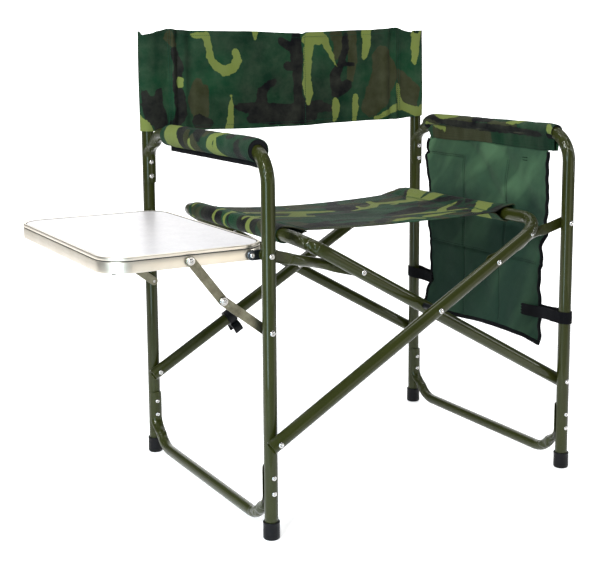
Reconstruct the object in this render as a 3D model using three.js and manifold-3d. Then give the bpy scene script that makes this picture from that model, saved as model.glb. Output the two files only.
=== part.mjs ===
// A folding director chair with a drop-leaf side table and a hanging organizer.
// Millimetres, +Z up, +Y to the back of the chair, +X to the sitter's left when looking along +Y
// from the front, so the side table is on the -X side and the organizer on the +X side.
// While it is built, x = 0, y = 0 is the axis of the front leg on the table side, and the floor is
// z = 0. At the end the whole chair is shifted so that the origin is the middle of its base.
import * as THREE from "three";
import { mergeVertices } from "three/addons/utils/BufferGeometryUtils.js";
import Module from "manifold-3d";

const wasm = await Module();
wasm.setup();

// ---------- driving dimensions ----------
const GAP = 0.4; // between two pieces that touch

const WIDTH = 600; // side frame to side frame, tube axis to tube axis
const DEPTH = 460; // front leg to rear post, tube axis to tube axis
const TUBE_R = 11; // legs, posts, arms and seat frames: 22 mm tube
const BRACE_R = 9.5; // floor braces: 19 mm tube
const POST_TOP_Z = 781;

const ARM_Z = 608; // axis of the arm tube
const ARM_BEND_R = 50;
const ARM_TIP_Z = 515; // lower end of the arm tube, riveted to the rear post
const BRACE_Z = 21.5; // axis of a floor brace
const BRACE_TIP_Z = 118;
const BRACE_BEND_R = 50;

const CRUSHED_WALL = 3.2; // thickness of a tube end that is pressed flat
const CRUSHED_LENGTH = 48;
const CRUSH_FADE = 32; // length over which the round tube becomes flat
const ARM_WRAP = THREE.MathUtils.degToRad(72); // how far a crushed end wraps round the leg, each way
const BRACE_WRAP = THREE.MathUtils.degToRad(62);

const FOOT_R = 13.4;
const FOOT_HEIGHT = 29;
const FOOT_FLOOR = 3;

const PIVOT_Z = 162; // lower pins of the seat frames
const SEAT_ANGLE = THREE.MathUtils.degToRad(29.8); // slope of the seat frames' legs when open
const SEAT_REACH = 605; // lower pin to seat rail, along the slope
const SEAT_BEND_R = 54;
const SEAT_OFFSET = 23.5; // from a side frame's plane of legs to a seat frame's leg, along Y
const SEAT_TAIL = 13; // tube past the lower pin

const HINGE_Z = 450; // upper pins: links and table brackets
const LINK_REACH = 483; // lower pin of a seat frame to its link pin, along the slope
const LINK_R = 8.5;
const LINK_EYE_R = 9.5;
const LINK_EYE_HALF = 1; // half thickness of a link's flat ends

const STRUT_FOOT_Z = 331; // lower pins of the folding struts
const KNEE = { x: -70, z: 385 };
const STRUT_HEAD = { x: -122, z: 451.5 };
const STRUT_HALF_WIDTH = 7.5;
const LAYER_1 = [11.4, 13.4]; // lower struts and the eyes of links, measured inwards from a leg's axis
const LAYER_2 = [13.7, 15.7]; // upper struts and table brackets

const TABLE = { outer: -254, inner: 13, inset: 18.5, top: 466, bottom: 442, corner: 44 };
const TABLE_RIM = 2.4;
const TABLE_LEDGE = 12;
const TABLE_BOARD = 8;
const BRACKET_X = -20;

const PIN_R = 2.6;
const PIN_HEAD_R = 4.6;
const PIN_HEAD = 2;
const DRILL_R = 3;

const PAD_R = 19; // arm pads
const PAD_REAR_Y = 376;
const PAD_FRONT_ANGLE = THREE.MathUtils.degToRad(34); // how far a pad follows the front bend

const BACK = { bottom: 608, top: 785, sleeveR: 14, thick: 3 };
const SEAT = { front: 66, rear: 402, sleeveR: 14.2, thick: 3, surface: 3.5 }; // surface: above the rails' axes
const POUCH = { front: 58, rear: 400, bottom: 222, top: 584, seam: 362, lip: 541 };
const POUCH_COLUMNS = [62, 183, 289, 396]; // pocket seams, along Y

const RING = 16; // sides of a tube
const BEND_STEPS = 6; // segments in a right-angle bend

// ---------- materials ----------
function paint(color, roughness, metalness) {
  return new THREE.MeshStandardMaterial({ color, roughness, metalness });
}
const OLIVE_PAINT = paint(0x4c5226, 0.28, 0.55);
const BARE_STEEL = paint(0x77776c, 0.35, 0.9);
const RIVET_STEEL = paint(0xd2d4d6, 0.2, 1);
const BLACK_PLASTIC = paint(0x15161a, 0.5, 0);
const ALUMINIUM = paint(0xc9c6bd, 0.3, 0.95);
const WHITE_BOARD = paint(0xf3f1ef, 0.35, 0);
const CAMO_CLOTH = paint(0x2f4a2c, 0.85, 0);
const GREEN_CLOTH = paint(0x3f6a4c, 0.85, 0);

// ---------- geometry helpers ----------
const chair = new THREE.Group();

function add(name, geometry, material) {
  const mesh = new THREE.Mesh(geometry, material);
  mesh.name = name;
  chair.add(mesh);
  return mesh;
}

// Turns a closed geometry's faces round when they point inwards.
function outward(geometry) {
  const flat = geometry.index ? geometry.toNonIndexed() : geometry;
  const p = flat.attributes.position;
  const [a, b, c] = [new THREE.Vector3(), new THREE.Vector3(), new THREE.Vector3()];
  let volume = 0;
  for (let i = 0; i < p.count; i += 3) {
    a.fromBufferAttribute(p, i);
    b.fromBufferAttribute(p, i + 1);
    c.fromBufferAttribute(p, i + 2);
    volume += a.dot(b.cross(c));
  }
  if (volume > 0) return flat;
  const out = new Float32Array(p.array.length);
  for (let i = 0; i < p.count; i += 3) {
    out.set(p.array.subarray(3 * i, 3 * i + 3), 3 * i);
    out.set(p.array.subarray(3 * i + 6, 3 * i + 9), 3 * i + 3);
    out.set(p.array.subarray(3 * i + 3, 3 * i + 6), 3 * i + 6);
  }
  return new THREE.BufferGeometry().setAttribute("position", new THREE.BufferAttribute(out, 3));
}

function toSolid(geometry) {
  const bare = new THREE.BufferGeometry();
  bare.setAttribute("position", outward(geometry).attributes.position);
  const merged = mergeVertices(bare, 1e-3);
  return new wasm.Manifold(
    new wasm.Mesh({
      numProp: 3,
      vertProperties: new Float32Array(merged.attributes.position.array),
      triVerts: new Uint32Array(merged.index.array),
    }),
  );
}

function fromSolid(solid) {
  const mesh = solid.getMesh();
  const geometry = new THREE.BufferGeometry();
  geometry.setAttribute("position", new THREE.BufferAttribute(mesh.vertProperties, 3));
  geometry.setIndex(new THREE.BufferAttribute(mesh.triVerts, 1));
  return geometry;
}

function join(...geometries) {
  return fromSolid(geometries.map(toSolid).reduce((whole, next) => whole.add(next)));
}

function cut(geometry, ...tools) {
  return fromSolid(tools.map(toSolid).reduce((whole, next) => whole.subtract(next), toSolid(geometry)));
}

// A solid through a list of rings that all have the same number of points.
// A ring is symmetric about its first point, so a cap is a strip from its first point to the middle one.
function loft(rings) {
  const n = rings[0].length;
  const positions = rings.flat().flatMap((p) => [p.x, p.y, p.z]);
  const index = [];
  for (let i = 0; i + 1 < rings.length; i++) {
    for (let k = 0; k < n; k++) {
      const [a, b] = [i * n + k, i * n + ((k + 1) % n)];
      index.push(a, b, b + n, a, b + n, a + n);
    }
  }
  for (const [base, flip] of [[0, true], [(rings.length - 1) * n, false]]) {
    for (let k = 0; k < n / 2; k++) {
      const quad = [k, k + 1, n - k - 1, (n - k) % n];
      const faces = [[quad[0], quad[1], quad[2]], [quad[0], quad[2], quad[3]]];
      for (const face of faces) {
        if (new Set(face).size < 3) continue;
        const [x, y, z] = face.map((v) => base + v);
        index.push(...(flip ? [x, z, y] : [x, y, z]));
      }
    }
  }
  const geometry = new THREE.BufferGeometry();
  geometry.setAttribute("position", new THREE.Float32BufferAttribute(positions, 3));
  geometry.setIndex(index);
  return outward(geometry);
}

// Stations { point, along } down a route of straight runs joined by bends of one radius.
function route(corners, radius, steps = BEND_STEPS) {
  const stations = [];
  const last = corners.length - 1;
  const run = (i) => corners[i + 1].clone().sub(corners[i]).normalize();
  stations.push({ point: corners[0].clone(), along: run(0) });
  for (let i = 1; i < last; i++) {
    const [before, after] = [run(i - 1), run(i)];
    const turn = before.angleTo(after);
    const setback = radius * Math.tan(turn / 2);
    const start = corners[i].clone().addScaledVector(before, -setback);
    const inward = after.clone().addScaledVector(before, -after.dot(before)).normalize();
    const centre = start.clone().addScaledVector(inward, radius);
    for (let k = 0; k <= steps; k++) {
      const a = (turn * k) / steps;
      const point = centre.clone();
      point.addScaledVector(inward, -radius * Math.cos(a)).addScaledVector(before, radius * Math.sin(a));
      const along = before.clone().multiplyScalar(Math.cos(a)).addScaledVector(inward, Math.sin(a));
      stations.push({ point, along });
    }
  }
  stations.push({ point: corners[last].clone(), along: run(last - 1) });
  return stations;
}

// The length walked up to each station.
function walked(stations) {
  const lengths = [0];
  for (let i = 1; i < stations.length; i++) {
    lengths.push(lengths[i - 1] + stations[i].point.distanceTo(stations[i - 1].point));
  }
  return lengths;
}

// The same route with extra stations at the given lengths.
function withStations(stations, extra) {
  const at = walked(stations);
  const all = stations.map((station, i) => ({ ...station, s: at[i] }));
  for (const s of extra) {
    if (at.some((known) => Math.abs(known - s) < 1)) continue;
    const i = at.findIndex((known) => known > s);
    const t = (s - at[i - 1]) / (at[i] - at[i - 1]);
    const point = stations[i - 1].point.clone().lerp(stations[i].point, t);
    const along = stations[i - 1].along.clone().lerp(stations[i].along, t).normalize();
    all.push({ point, along, s });
  }
  return all.sort((a, b) => a.s - b.s);
}

// A ring of points round a station. side is a unit vector across the route, and section(angle)
// gives how far each point lies along side and along the third direction.
function ringAt(station, side, section) {
  const third = station.along.clone().cross(side);
  return Array.from({ length: RING }, (_, k) => {
    const [u, v] = section((2 * Math.PI * k) / RING);
    return station.point.clone().addScaledVector(side, u).addScaledVector(third, v);
  });
}

const circle = (r) => (angle) => [r * Math.cos(angle), r * Math.sin(angle)];

// A crescent that hugs a leg of radius TUBE_R whose axis is reach away.
function crescent(reach, wrap) {
  const middle = TUBE_R + GAP + CRUSHED_WALL / 2;
  return (angle) => {
    const radius = middle + (CRUSHED_WALL / 2) * Math.sin(angle);
    const turn = wrap * Math.cos(angle);
    return [radius * Math.sin(turn), radius * Math.cos(turn) - reach];
  };
}

function blend(from, to, weight) {
  const w = THREE.MathUtils.smoothstep(weight, 0, 1);
  return (angle) => {
    const [a, b] = [from(angle), to(angle)];
    return [a[0] + (b[0] - a[0]) * w, a[1] + (b[1] - a[1]) * w];
  };
}

function roundBar(from, to, radius) {
  const along = to.clone().sub(from).normalize();
  const side = new THREE.Vector3(0, 1, 0);
  if (Math.abs(along.y) > 0.9) side.set(1, 0, 0);
  side.addScaledVector(along, -side.dot(along)).normalize();
  return loft([from, to].map((point) => ringAt({ point, along }, side, circle(radius))));
}

// A drilled hole along Y.
function drill(x, z, from, to) {
  const geometry = new THREE.CylinderGeometry(DRILL_R, DRILL_R, to - from, 10);
  return geometry.translate(x, (from + to) / 2, z);
}

// A plate whose outline lies in X-Z, from y = from to y = to.
function plate(shape, from, to, curveSegments = 6) {
  const options = { depth: to - from, bevelEnabled: false, curveSegments };
  const geometry = new THREE.ExtrudeGeometry(shape, options);
  const p = geometry.attributes.position;
  for (let i = 0; i < p.count; i++) p.setXYZ(i, p.getX(i), from + p.getZ(i), p.getY(i));
  return outward(geometry);
}

// A plate whose outline lies in X-Y, from z = from to z = to.
function slab(shape, from, to, curveSegments = 6) {
  const options = { depth: to - from, bevelEnabled: false, curveSegments };
  return outward(new THREE.ExtrudeGeometry(shape, options).translate(0, 0, from));
}

function box(x0, x1, y0, y1, z0, z1) {
  const geometry = new THREE.BoxGeometry(x1 - x0, y1 - y0, z1 - z0);
  return geometry.translate((x0 + x1) / 2, (y0 + y1) / 2, (z0 + z1) / 2);
}

// A flat bar with round ends between two pins, and a hole at each pin that is asked for.
function barShape(a, b, halfWidth, holes) {
  const along = Math.atan2(b.z - a.z, b.x - a.x);
  const shape = new THREE.Shape();
  shape.absarc(a.x, a.z, halfWidth, along + Math.PI / 2, along + 1.5 * Math.PI, false);
  shape.absarc(b.x, b.z, halfWidth, along - Math.PI / 2, along + Math.PI / 2, false);
  for (const p of holes) shape.holes.push(new THREE.Path().absarc(p.x, p.z, DRILL_R, 0, 2 * Math.PI, true));
  return shape;
}

// A rivet along Y: a domed head whose flat side is at y = seat, and a shank that ends at y = end.
function rivet(x, z, seat, end, collars = []) {
  const way = Math.sign(end - seat);
  const half = [[0, -PIN_HEAD]];
  half.push([PIN_HEAD_R * 0.6, -PIN_HEAD * 0.8], [PIN_HEAD_R, -0.35], [PIN_HEAD_R, 0], [PIN_R, 0]);
  for (const [from, to, radius] of collars) {
    half.push([PIN_R, from], [radius, from], [radius, to], [PIN_R, to]);
  }
  half.push([PIN_R, Math.abs(end - seat)], [0, Math.abs(end - seat)]);
  const points = half.map(([r, y]) => new THREE.Vector2(r, y * way));
  return outward(new THREE.LatheGeometry(points, 10).translate(x, seat, z));
}

// ---------- side frames ----------
// A tube along a route, with either end pressed to a crescent that hugs a leg.
function hollowEndTube(corners, bendR, tubeR, side, reach, wrap, crushStart, crushEnd) {
  const plain = route(corners, bendR);
  const total = walked(plain).at(-1);
  const marks = [0, 0.25, 0.5, 0.75, 1].map((t) => CRUSHED_LENGTH + CRUSH_FADE * t);
  const extra = [];
  if (crushStart) extra.push(...marks);
  if (crushEnd) extra.push(...marks.map((s) => total - s));
  const pressed = (s) => {
    const fromStart = crushStart ? s : Infinity;
    const fromEnd = crushEnd ? total - s : Infinity;
    return 1 - (Math.min(fromStart, fromEnd) - CRUSHED_LENGTH) / CRUSH_FADE;
  };
  const rings = withStations(plain, extra).map((station) => {
    const weight = THREE.MathUtils.clamp(pressed(station.s), 0, 1);
    return ringAt(station, side, blend(circle(tubeR), crescent(reach, wrap), weight));
  });
  return loft(rings);
}

const ARM_REACH = 2 * TUBE_R + GAP; // rear post axis to the arm's rear end, while it is round
const BRACE_REACH = TUBE_R + BRACE_R + GAP;

// The front leg and the arm are one bent tube.
function sideTube(x, holes) {
  const rearY = DEPTH - ARM_REACH;
  const corners = [
    new THREE.Vector3(x, 0, FOOT_FLOOR + GAP),
    new THREE.Vector3(x, 0, ARM_Z),
    new THREE.Vector3(x, rearY, ARM_Z),
    new THREE.Vector3(x, rearY, ARM_TIP_Z),
  ];
  const across = new THREE.Vector3(1, 0, 0);
  const tube = hollowEndTube(corners, ARM_BEND_R, TUBE_R, across, ARM_REACH, ARM_WRAP, false, true);
  return cut(tube, ...holes.map((z) => drill(x, z, -TUBE_R - 1, TUBE_R + 1)));
}

function rearPost(x, holes) {
  const post = roundBar(
    new THREE.Vector3(x, DEPTH, FOOT_FLOOR + GAP),
    new THREE.Vector3(x, DEPTH, POST_TOP_Z),
    TUBE_R,
  );
  return cut(post, ...holes.map((z) => drill(x, z, DEPTH - TUBE_R - 1, DEPTH + TUBE_R + 1)));
}

function floorBrace(x) {
  const corners = [
    new THREE.Vector3(x, BRACE_REACH, BRACE_TIP_Z),
    new THREE.Vector3(x, BRACE_REACH, BRACE_Z),
    new THREE.Vector3(x, DEPTH - BRACE_REACH, BRACE_Z),
    new THREE.Vector3(x, DEPTH - BRACE_REACH, BRACE_TIP_Z),
  ];
  const across = new THREE.Vector3(-1, 0, 0);
  return hollowEndTube(corners, BRACE_BEND_R, BRACE_R, across, BRACE_REACH, BRACE_WRAP, true, true);
}

// A cup of plastic pushed over the end of a leg.
function foot(x, y) {
  const bore = TUBE_R + GAP;
  const profile = [
    [0, 0],
    [FOOT_R - 1.6, 0],
    [FOOT_R, 1.6],
    [FOOT_R - 0.3, FOOT_HEIGHT - 1],
    [FOOT_R - 1, FOOT_HEIGHT],
    [bore, FOOT_HEIGHT],
    [bore, FOOT_FLOOR],
    [0, FOOT_FLOOR],
  ];
  const points = profile.map(([r, z]) => new THREE.Vector2(r, z));
  return outward(new THREE.LatheGeometry(points, RING).rotateX(Math.PI / 2).translate(x, y, 0));
}

// A padded sleeve that follows the arm tube from part way round its front bend to its rear end.
function armPad(x) {
  const centre = new THREE.Vector3(x, ARM_BEND_R, ARM_Z - ARM_BEND_R);
  const stations = [];
  for (let k = 0; k <= 3; k++) {
    const a = PAD_FRONT_ANGLE * (1 - k / 3);
    const out = new THREE.Vector3(0, -Math.sin(a), Math.cos(a));
    stations.push({
      point: centre.clone().addScaledVector(out, ARM_BEND_R),
      along: new THREE.Vector3(0, Math.cos(a), Math.sin(a)),
    });
  }
  stations.push({
    point: new THREE.Vector3(x, PAD_REAR_Y, ARM_Z),
    along: new THREE.Vector3(0, 1, 0),
  });
  const side = new THREE.Vector3(1, 0, 0);
  const outer = stations.map((station) => ringAt(station, side, circle(PAD_R)));
  const longer = stations.map((station) => ({ ...station, point: station.point.clone() }));
  longer[0].point.addScaledVector(longer[0].along, -1);
  longer.at(-1).point.addScaledVector(longer.at(-1).along, 1);
  const inner = longer.map((station) => ringAt(station, side, circle(TUBE_R + GAP + 0.3)));
  return cut(loft(outer), loft(inner));
}

for (const [side, x] of [["left", 0], ["right", WIDTH]]) {
  const pins = side === "left" ? [PIVOT_Z, STRUT_FOOT_Z, HINGE_Z] : [PIVOT_Z, HINGE_Z];
  add(side + "_leg_and_arm_tube", sideTube(x, pins), OLIVE_PAINT);
  add(side + "_rear_post", rearPost(x, pins), OLIVE_PAINT);
  add(side + "_floor_brace", floorBrace(x), OLIVE_PAINT);
  add(side + "_front_foot", foot(x, 0), BLACK_PLASTIC);
  add(side + "_rear_foot", foot(x, DEPTH), BLACK_PLASTIC);
  add(side + "_arm_pad", armPad(x), CAMO_CLOTH);
}

// ---------- seat frames ----------
const SLOPE = { x: Math.cos(SEAT_ANGLE), z: Math.sin(SEAT_ANGLE) };
const CROSSING = WIDTH / 2 / SLOPE.x; // lower pin to the crossing pin, along the slope

// Both seat frames are the same U of tube. way is 1 for the one that rises towards +X.
function seatFrame(way) {
  const pinX = way > 0 ? 0 : WIDTH;
  const front = -way * SEAT_OFFSET;
  const rear = DEPTH + front;
  const at = (s, y) => new THREE.Vector3(pinX + way * s * SLOPE.x, y, PIVOT_Z + s * SLOPE.z);
  const corners = [at(-SEAT_TAIL, front), at(SEAT_REACH, front), at(SEAT_REACH, rear), at(-SEAT_TAIL, rear)];
  const normal = new THREE.Vector3(-way * SLOPE.z, 0, SLOPE.x);
  const rings = route(corners, SEAT_BEND_R).map((station) => ringAt(station, normal, circle(TUBE_R)));
  const drills = [];
  for (const y of [front, rear]) {
    for (const s of [0, CROSSING, LINK_REACH]) {
      const p = at(s, y);
      drills.push(drill(p.x, p.z, y - TUBE_R - 1, y + TUBE_R + 1));
    }
  }
  return cut(loft(rings), ...drills);
}

function crossingSpacer(y) {
  const half = SEAT_OFFSET - TUBE_R - GAP;
  const profile = [[DRILL_R, -half], [6, -half], [6, half], [DRILL_R, half], [DRILL_R, -half]];
  const points = profile.map(([r, z]) => new THREE.Vector2(r, z));
  const z = PIVOT_Z + CROSSING * SLOPE.z;
  return outward(new THREE.LatheGeometry(points, 12).translate(WIDTH / 2, y, z));
}

// A snap clip on the rear leg of the first seat frame: a ring round the tube and an open jaw.
function transportClip() {
  const [half, ringR, jawR, jawAt] = [8, 14.6, 14, 25];
  const ring = new THREE.Shape().absarc(0, 0, ringR, 0, 2 * Math.PI, false);
  const jaw = new THREE.Shape();
  jaw.absarc(0, -jawAt, jawR, 0.8 * Math.PI, 0.2 * Math.PI, true);
  jaw.lineTo(jawR, -jawAt);
  jaw.lineTo(jawR - 2.6, -jawAt);
  jaw.absarc(0, -jawAt, jawR - 2.6, 0, Math.PI, false);
  jaw.lineTo(-jawR, -jawAt);
  const options = { depth: 2 * half, bevelEnabled: false, curveSegments: 10 };
  const solid = join(
    new THREE.ExtrudeGeometry(ring, options).translate(0, 0, -half),
    new THREE.ExtrudeGeometry(jaw, options).translate(0, 0, -half),
  );
  const bore = new THREE.CylinderGeometry(TUBE_R + GAP, TUBE_R + GAP, 4 * half, RING).rotateX(Math.PI / 2);
  const s = 172;
  const clip = cut(solid, bore);
  clip.rotateX(Math.PI / 2).rotateZ(Math.PI / 2).rotateY(-SEAT_ANGLE);
  return clip.translate(s * SLOPE.x, DEPTH - SEAT_OFFSET, PIVOT_Z + s * SLOPE.z);
}

add("seat_frame_a", seatFrame(1), OLIVE_PAINT);
add("seat_frame_b", seatFrame(-1), OLIVE_PAINT);
add("front_crossing_spacer", crossingSpacer(0), BLACK_PLASTIC);
add("rear_crossing_spacer", crossingSpacer(DEPTH), BLACK_PLASTIC);
add("transport_clip", transportClip(), BLACK_PLASTIC);

// ---------- links from the side frames to the seat frames ----------
// A tube whose ends are pressed flat. It starts at the leg's rear side and ends at the rear side
// of a seat frame's leg, so it leans a little along Y.
function link(way, legY) {
  const legX = way > 0 ? 0 : WIDTH;
  const reach = LINK_REACH * SLOPE.x;
  const far = { x: way > 0 ? WIDTH - reach : reach, z: PIVOT_Z + LINK_REACH * SLOPE.z };
  const nearY = legY + (LAYER_1[0] + LAYER_1[1]) / 2;
  const farY = nearY + way * SEAT_OFFSET;
  const start = new THREE.Vector3(legX, 0, HINGE_Z);
  const along = new THREE.Vector3(far.x - legX, 0, far.z - HINGE_Z);
  const length = along.length();
  along.normalize();
  const across = new THREE.Vector3(0, 1, 0).cross(along);
  const flat = (half) => (angle) => {
    const soft = (v) => Math.sign(v) * Math.abs(v) ** 0.5;
    return [half * soft(Math.cos(angle)), LINK_EYE_HALF * soft(Math.sin(angle))];
  };
  const eye = [-9.3, -8, -5.5, 0, 36];
  const stations = [];
  for (const s of eye) stations.push({ s, y: nearY });
  for (const t of [0.25, 0.5, 0.75, 1]) stations.push({ s: 36 + 26 * t, y: nearY, round: t });
  const rise = LINK_R - LINK_EYE_HALF; // the flat ends are flush with the tube's front
  const rings = [...stations, ...stations.map((e) => ({ ...e, s: length - e.s, y: farY })).reverse()].map(
    ({ s, y, round = 0 }) => {
      const past = Math.max(0, -s, s - length);
      const half = Math.sqrt(Math.max(LINK_EYE_R ** 2 - past ** 2, 1));
      const lean = THREE.MathUtils.smoothstep(s, 62, length - 62) * (farY - nearY);
      const middle = round === 1 ? nearY + lean : y;
      const point = start.clone().addScaledVector(along, s);
      point.y = middle + rise * THREE.MathUtils.smoothstep(round, 0, 1);
      return ringAt({ point, along }, across, blend(flat(half), circle(LINK_R), round));
    },
  );
  const eyeHole = drill(legX, HINGE_Z, nearY - 3, nearY + 3);
  return cut(loft(rings), eyeHole);
}

add("left_front_link", link(1, 0), OLIVE_PAINT);
add("left_rear_link", link(1, DEPTH), OLIVE_PAINT);
add("right_front_link", link(-1, 0), OLIVE_PAINT);
add("right_rear_link", link(-1, DEPTH), OLIVE_PAINT);

// ---------- side table ----------
function tableOutline(inset) {
  const r = TABLE.corner - inset;
  const [x0, x1] = [TABLE.outer + TABLE.corner, TABLE.inner - TABLE.corner];
  const [y0, y1] = [TABLE.inset + TABLE.corner, DEPTH - TABLE.inset - TABLE.corner];
  const shape = new THREE.Shape();
  shape.absarc(x1, y0, r, -Math.PI / 2, 0, false);
  shape.absarc(x1, y1, r, 0, Math.PI / 2, false);
  shape.absarc(x0, y1, r, Math.PI / 2, Math.PI, false);
  shape.absarc(x0, y0, r, Math.PI, 1.5 * Math.PI, false);
  return shape;
}

function tableRing(outerInset, innerInset, from, to) {
  const shape = tableOutline(outerInset);
  shape.holes.push(new THREE.Path(tableOutline(innerInset).getPoints(6).reverse()));
  return slab(shape, from, to);
}

const LEDGE_TOP = TABLE.top - 0.8 - TABLE_BOARD - GAP;

function tableRim(drills) {
  const band = tableRing(0, TABLE_RIM, TABLE.bottom, TABLE.top);
  const ledge = tableRing(TABLE_RIM / 2, TABLE_LEDGE, LEDGE_TOP - 2, LEDGE_TOP);
  return cut(join(band, ledge), ...drills);
}

// Calls make(name, place) for the front and the rear, where place turns a distance that is measured
// inwards from that leg's axis into a y.
function frontAndRear(make) {
  make("front", (inwards) => inwards);
  make("rear", (inwards) => DEPTH - inwards);
}

function between(place, [from, to]) {
  return [place(from), place(to)].sort((a, b) => a - b);
}

const hinge = { x: 0, z: HINGE_Z };
const bracketEnd = { x: BRACKET_X, z: HINGE_Z };
const strutFoot = { x: 0, z: STRUT_FOOT_Z };
const rimDrills = [];
frontAndRear((name, place) => {
  const layer = between(place, [TABLE.inset - 1, TABLE.inset + 6.5]);
  for (const p of [bracketEnd, STRUT_HEAD]) rimDrills.push(drill(p.x, p.z, ...layer));

  const bracket = barShape(hinge, bracketEnd, 8, [hinge, bracketEnd]);
  add("table_" + name + "_bracket", plate(bracket, ...between(place, LAYER_2)), BARE_STEEL);

  const upper = barShape(STRUT_HEAD, KNEE, STRUT_HALF_WIDTH, [STRUT_HEAD]);
  add(name + "_upper_strut", plate(upper, ...between(place, LAYER_2)), BARE_STEEL);

  const lower = barShape(KNEE, strutFoot, STRUT_HALF_WIDTH, [KNEE, strutFoot]);
  add(name + "_lower_strut", plate(lower, ...between(place, LAYER_1)), BARE_STEEL);

  const bumper = new THREE.CylinderGeometry(6, 5, 7, 12).rotateX(Math.PI / 2);
  add("table_" + name + "_bumper", bumper.translate(TABLE.outer + 26, place(50), LEDGE_TOP - 2 - GAP - 3.5), BLACK_PLASTIC);
});
add("table_rim", tableRim(rimDrills), ALUMINIUM);
add("table_board", slab(tableOutline(TABLE_RIM + GAP), LEDGE_TOP + GAP, TABLE.top - 0.8), WHITE_BOARD);

// ---------- pivot pins ----------
// A pin whose head sits on the surface at y = seat.
function addPin(name, x, z, seat, end, collars) {
  add(name, rivet(x, z, seat, end, collars), RIVET_STEEL);
}

for (const [place, y] of [["front", 0], ["rear", DEPTH]]) {
  const [near, far] = [y - SEAT_OFFSET, y + SEAT_OFFSET];
  const link = { x: LINK_REACH * SLOPE.x, z: PIVOT_Z + LINK_REACH * SLOPE.z };
  const crossingZ = PIVOT_Z + CROSSING * SLOPE.z;
  const tubeFront = (axis) => axis - TUBE_R - 0.2;
  const tubeRear = (axis) => axis + TUBE_R + 0.3;
  addPin("seat_frame_a_" + place + "_pin", 0, PIVOT_Z, tubeFront(near), tubeRear(y));
  addPin("seat_frame_b_" + place + "_pin", WIDTH, PIVOT_Z, tubeFront(y), tubeRear(far));
  addPin(place + "_crossing_pin", WIDTH / 2, crossingZ, tubeFront(near), tubeRear(far));
  addPin("right_" + place + "_hinge_pin", WIDTH, HINGE_Z, tubeFront(y), y + LAYER_1[1] + 1);
  addPin("left_" + place + "_link_pin", WIDTH - link.x, link.z, tubeFront(far), far + TUBE_R);
  addPin("right_" + place + "_link_pin", link.x, link.z, tubeFront(near), near + TUBE_R);
}
addPin("left_front_hinge_pin", 0, HINGE_Z, -TUBE_R - 0.2, LAYER_2[1] + 0.6);
addPin("left_rear_hinge_pin", 0, HINGE_Z, DEPTH + LAYER_1[1] + 0.3, DEPTH - LAYER_2[1] - 0.6);
frontAndRear((name, place) => {
  addPin(name + "_strut_foot_pin", 0, STRUT_FOOT_Z, place(-TUBE_R - 0.2), place(LAYER_1[1] + 0.4));
  addPin(name + "_strut_knee_pin", KNEE.x, KNEE.z, place(LAYER_1[0] - 0.2), place(LAYER_1[1]));
  const standOff = [LAYER_2[1] - LAYER_2[0] + 0.5, TABLE.inset - LAYER_2[0] - 0.1, 4.4];
  addPin(name + "_strut_head_pin", STRUT_HEAD.x, STRUT_HEAD.z, place(LAYER_2[0] - 0.2), place(TABLE.inset + 3.4), [standOff]);
  addPin("table_" + name + "_bracket_pin", BRACKET_X, HINGE_Z, place(LAYER_2[0] - 0.2), place(TABLE.inset + 4.8), [standOff]);
});

// ---------- soft parts ----------
// A sleeve along Y or Z round a tube: a ring of cloth with an open bore.
function sleeve(from, to, radius) {
  const along = to.clone().sub(from).normalize();
  const bore = roundBar(
    from.clone().addScaledVector(along, -5),
    to.clone().addScaledVector(along, 5),
    TUBE_R + GAP + 0.2,
  );
  return { cloth: roundBar(from, to, radius), bore };
}

function backSling() {
  const sleeves = [0, WIDTH].map((x) =>
    sleeve(new THREE.Vector3(x, DEPTH, BACK.bottom), new THREE.Vector3(x, DEPTH, BACK.top - 6), BACK.sleeveR),
  );
  const [y0, y1] = [DEPTH - BACK.sleeveR + 0.2, DEPTH - BACK.sleeveR + 0.2 + BACK.thick];
  const panel = box(3, WIDTH - 3, y0, y1, BACK.bottom, BACK.top);
  return cut(join(panel, ...sleeves.map((s) => s.cloth)), ...sleeves.map((s) => s.bore));
}

function seatSling() {
  const railX = SEAT_REACH * SLOPE.x;
  const railZ = PIVOT_Z + SEAT_REACH * SLOPE.z;
  const bend = SEAT_BEND_R + 2;
  const leftRail = [SEAT_OFFSET + bend, SEAT.rear];
  const rightRail = [SEAT.front, DEPTH - SEAT_OFFSET - bend];
  const sleeves = [[WIDTH - railX, leftRail], [railX, rightRail]].map(([x, [y0, y1]]) =>
    sleeve(new THREE.Vector3(x, y0, railZ), new THREE.Vector3(x, y1, railZ), SEAT.sleeveR),
  );
  const z1 = railZ + SEAT.surface;
  const outline = new THREE.Shape([
    new THREE.Vector2(WIDTH - railX, leftRail[0]),
    new THREE.Vector2(railX, rightRail[0]),
    new THREE.Vector2(railX, rightRail[1]),
    new THREE.Vector2(WIDTH - railX, leftRail[1]),
  ]);
  const panel = slab(outline, z1 - SEAT.thick, z1);
  return cut(join(panel, ...sleeves.map((s) => s.cloth)), ...sleeves.map((s) => s.bore));
}

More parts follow.
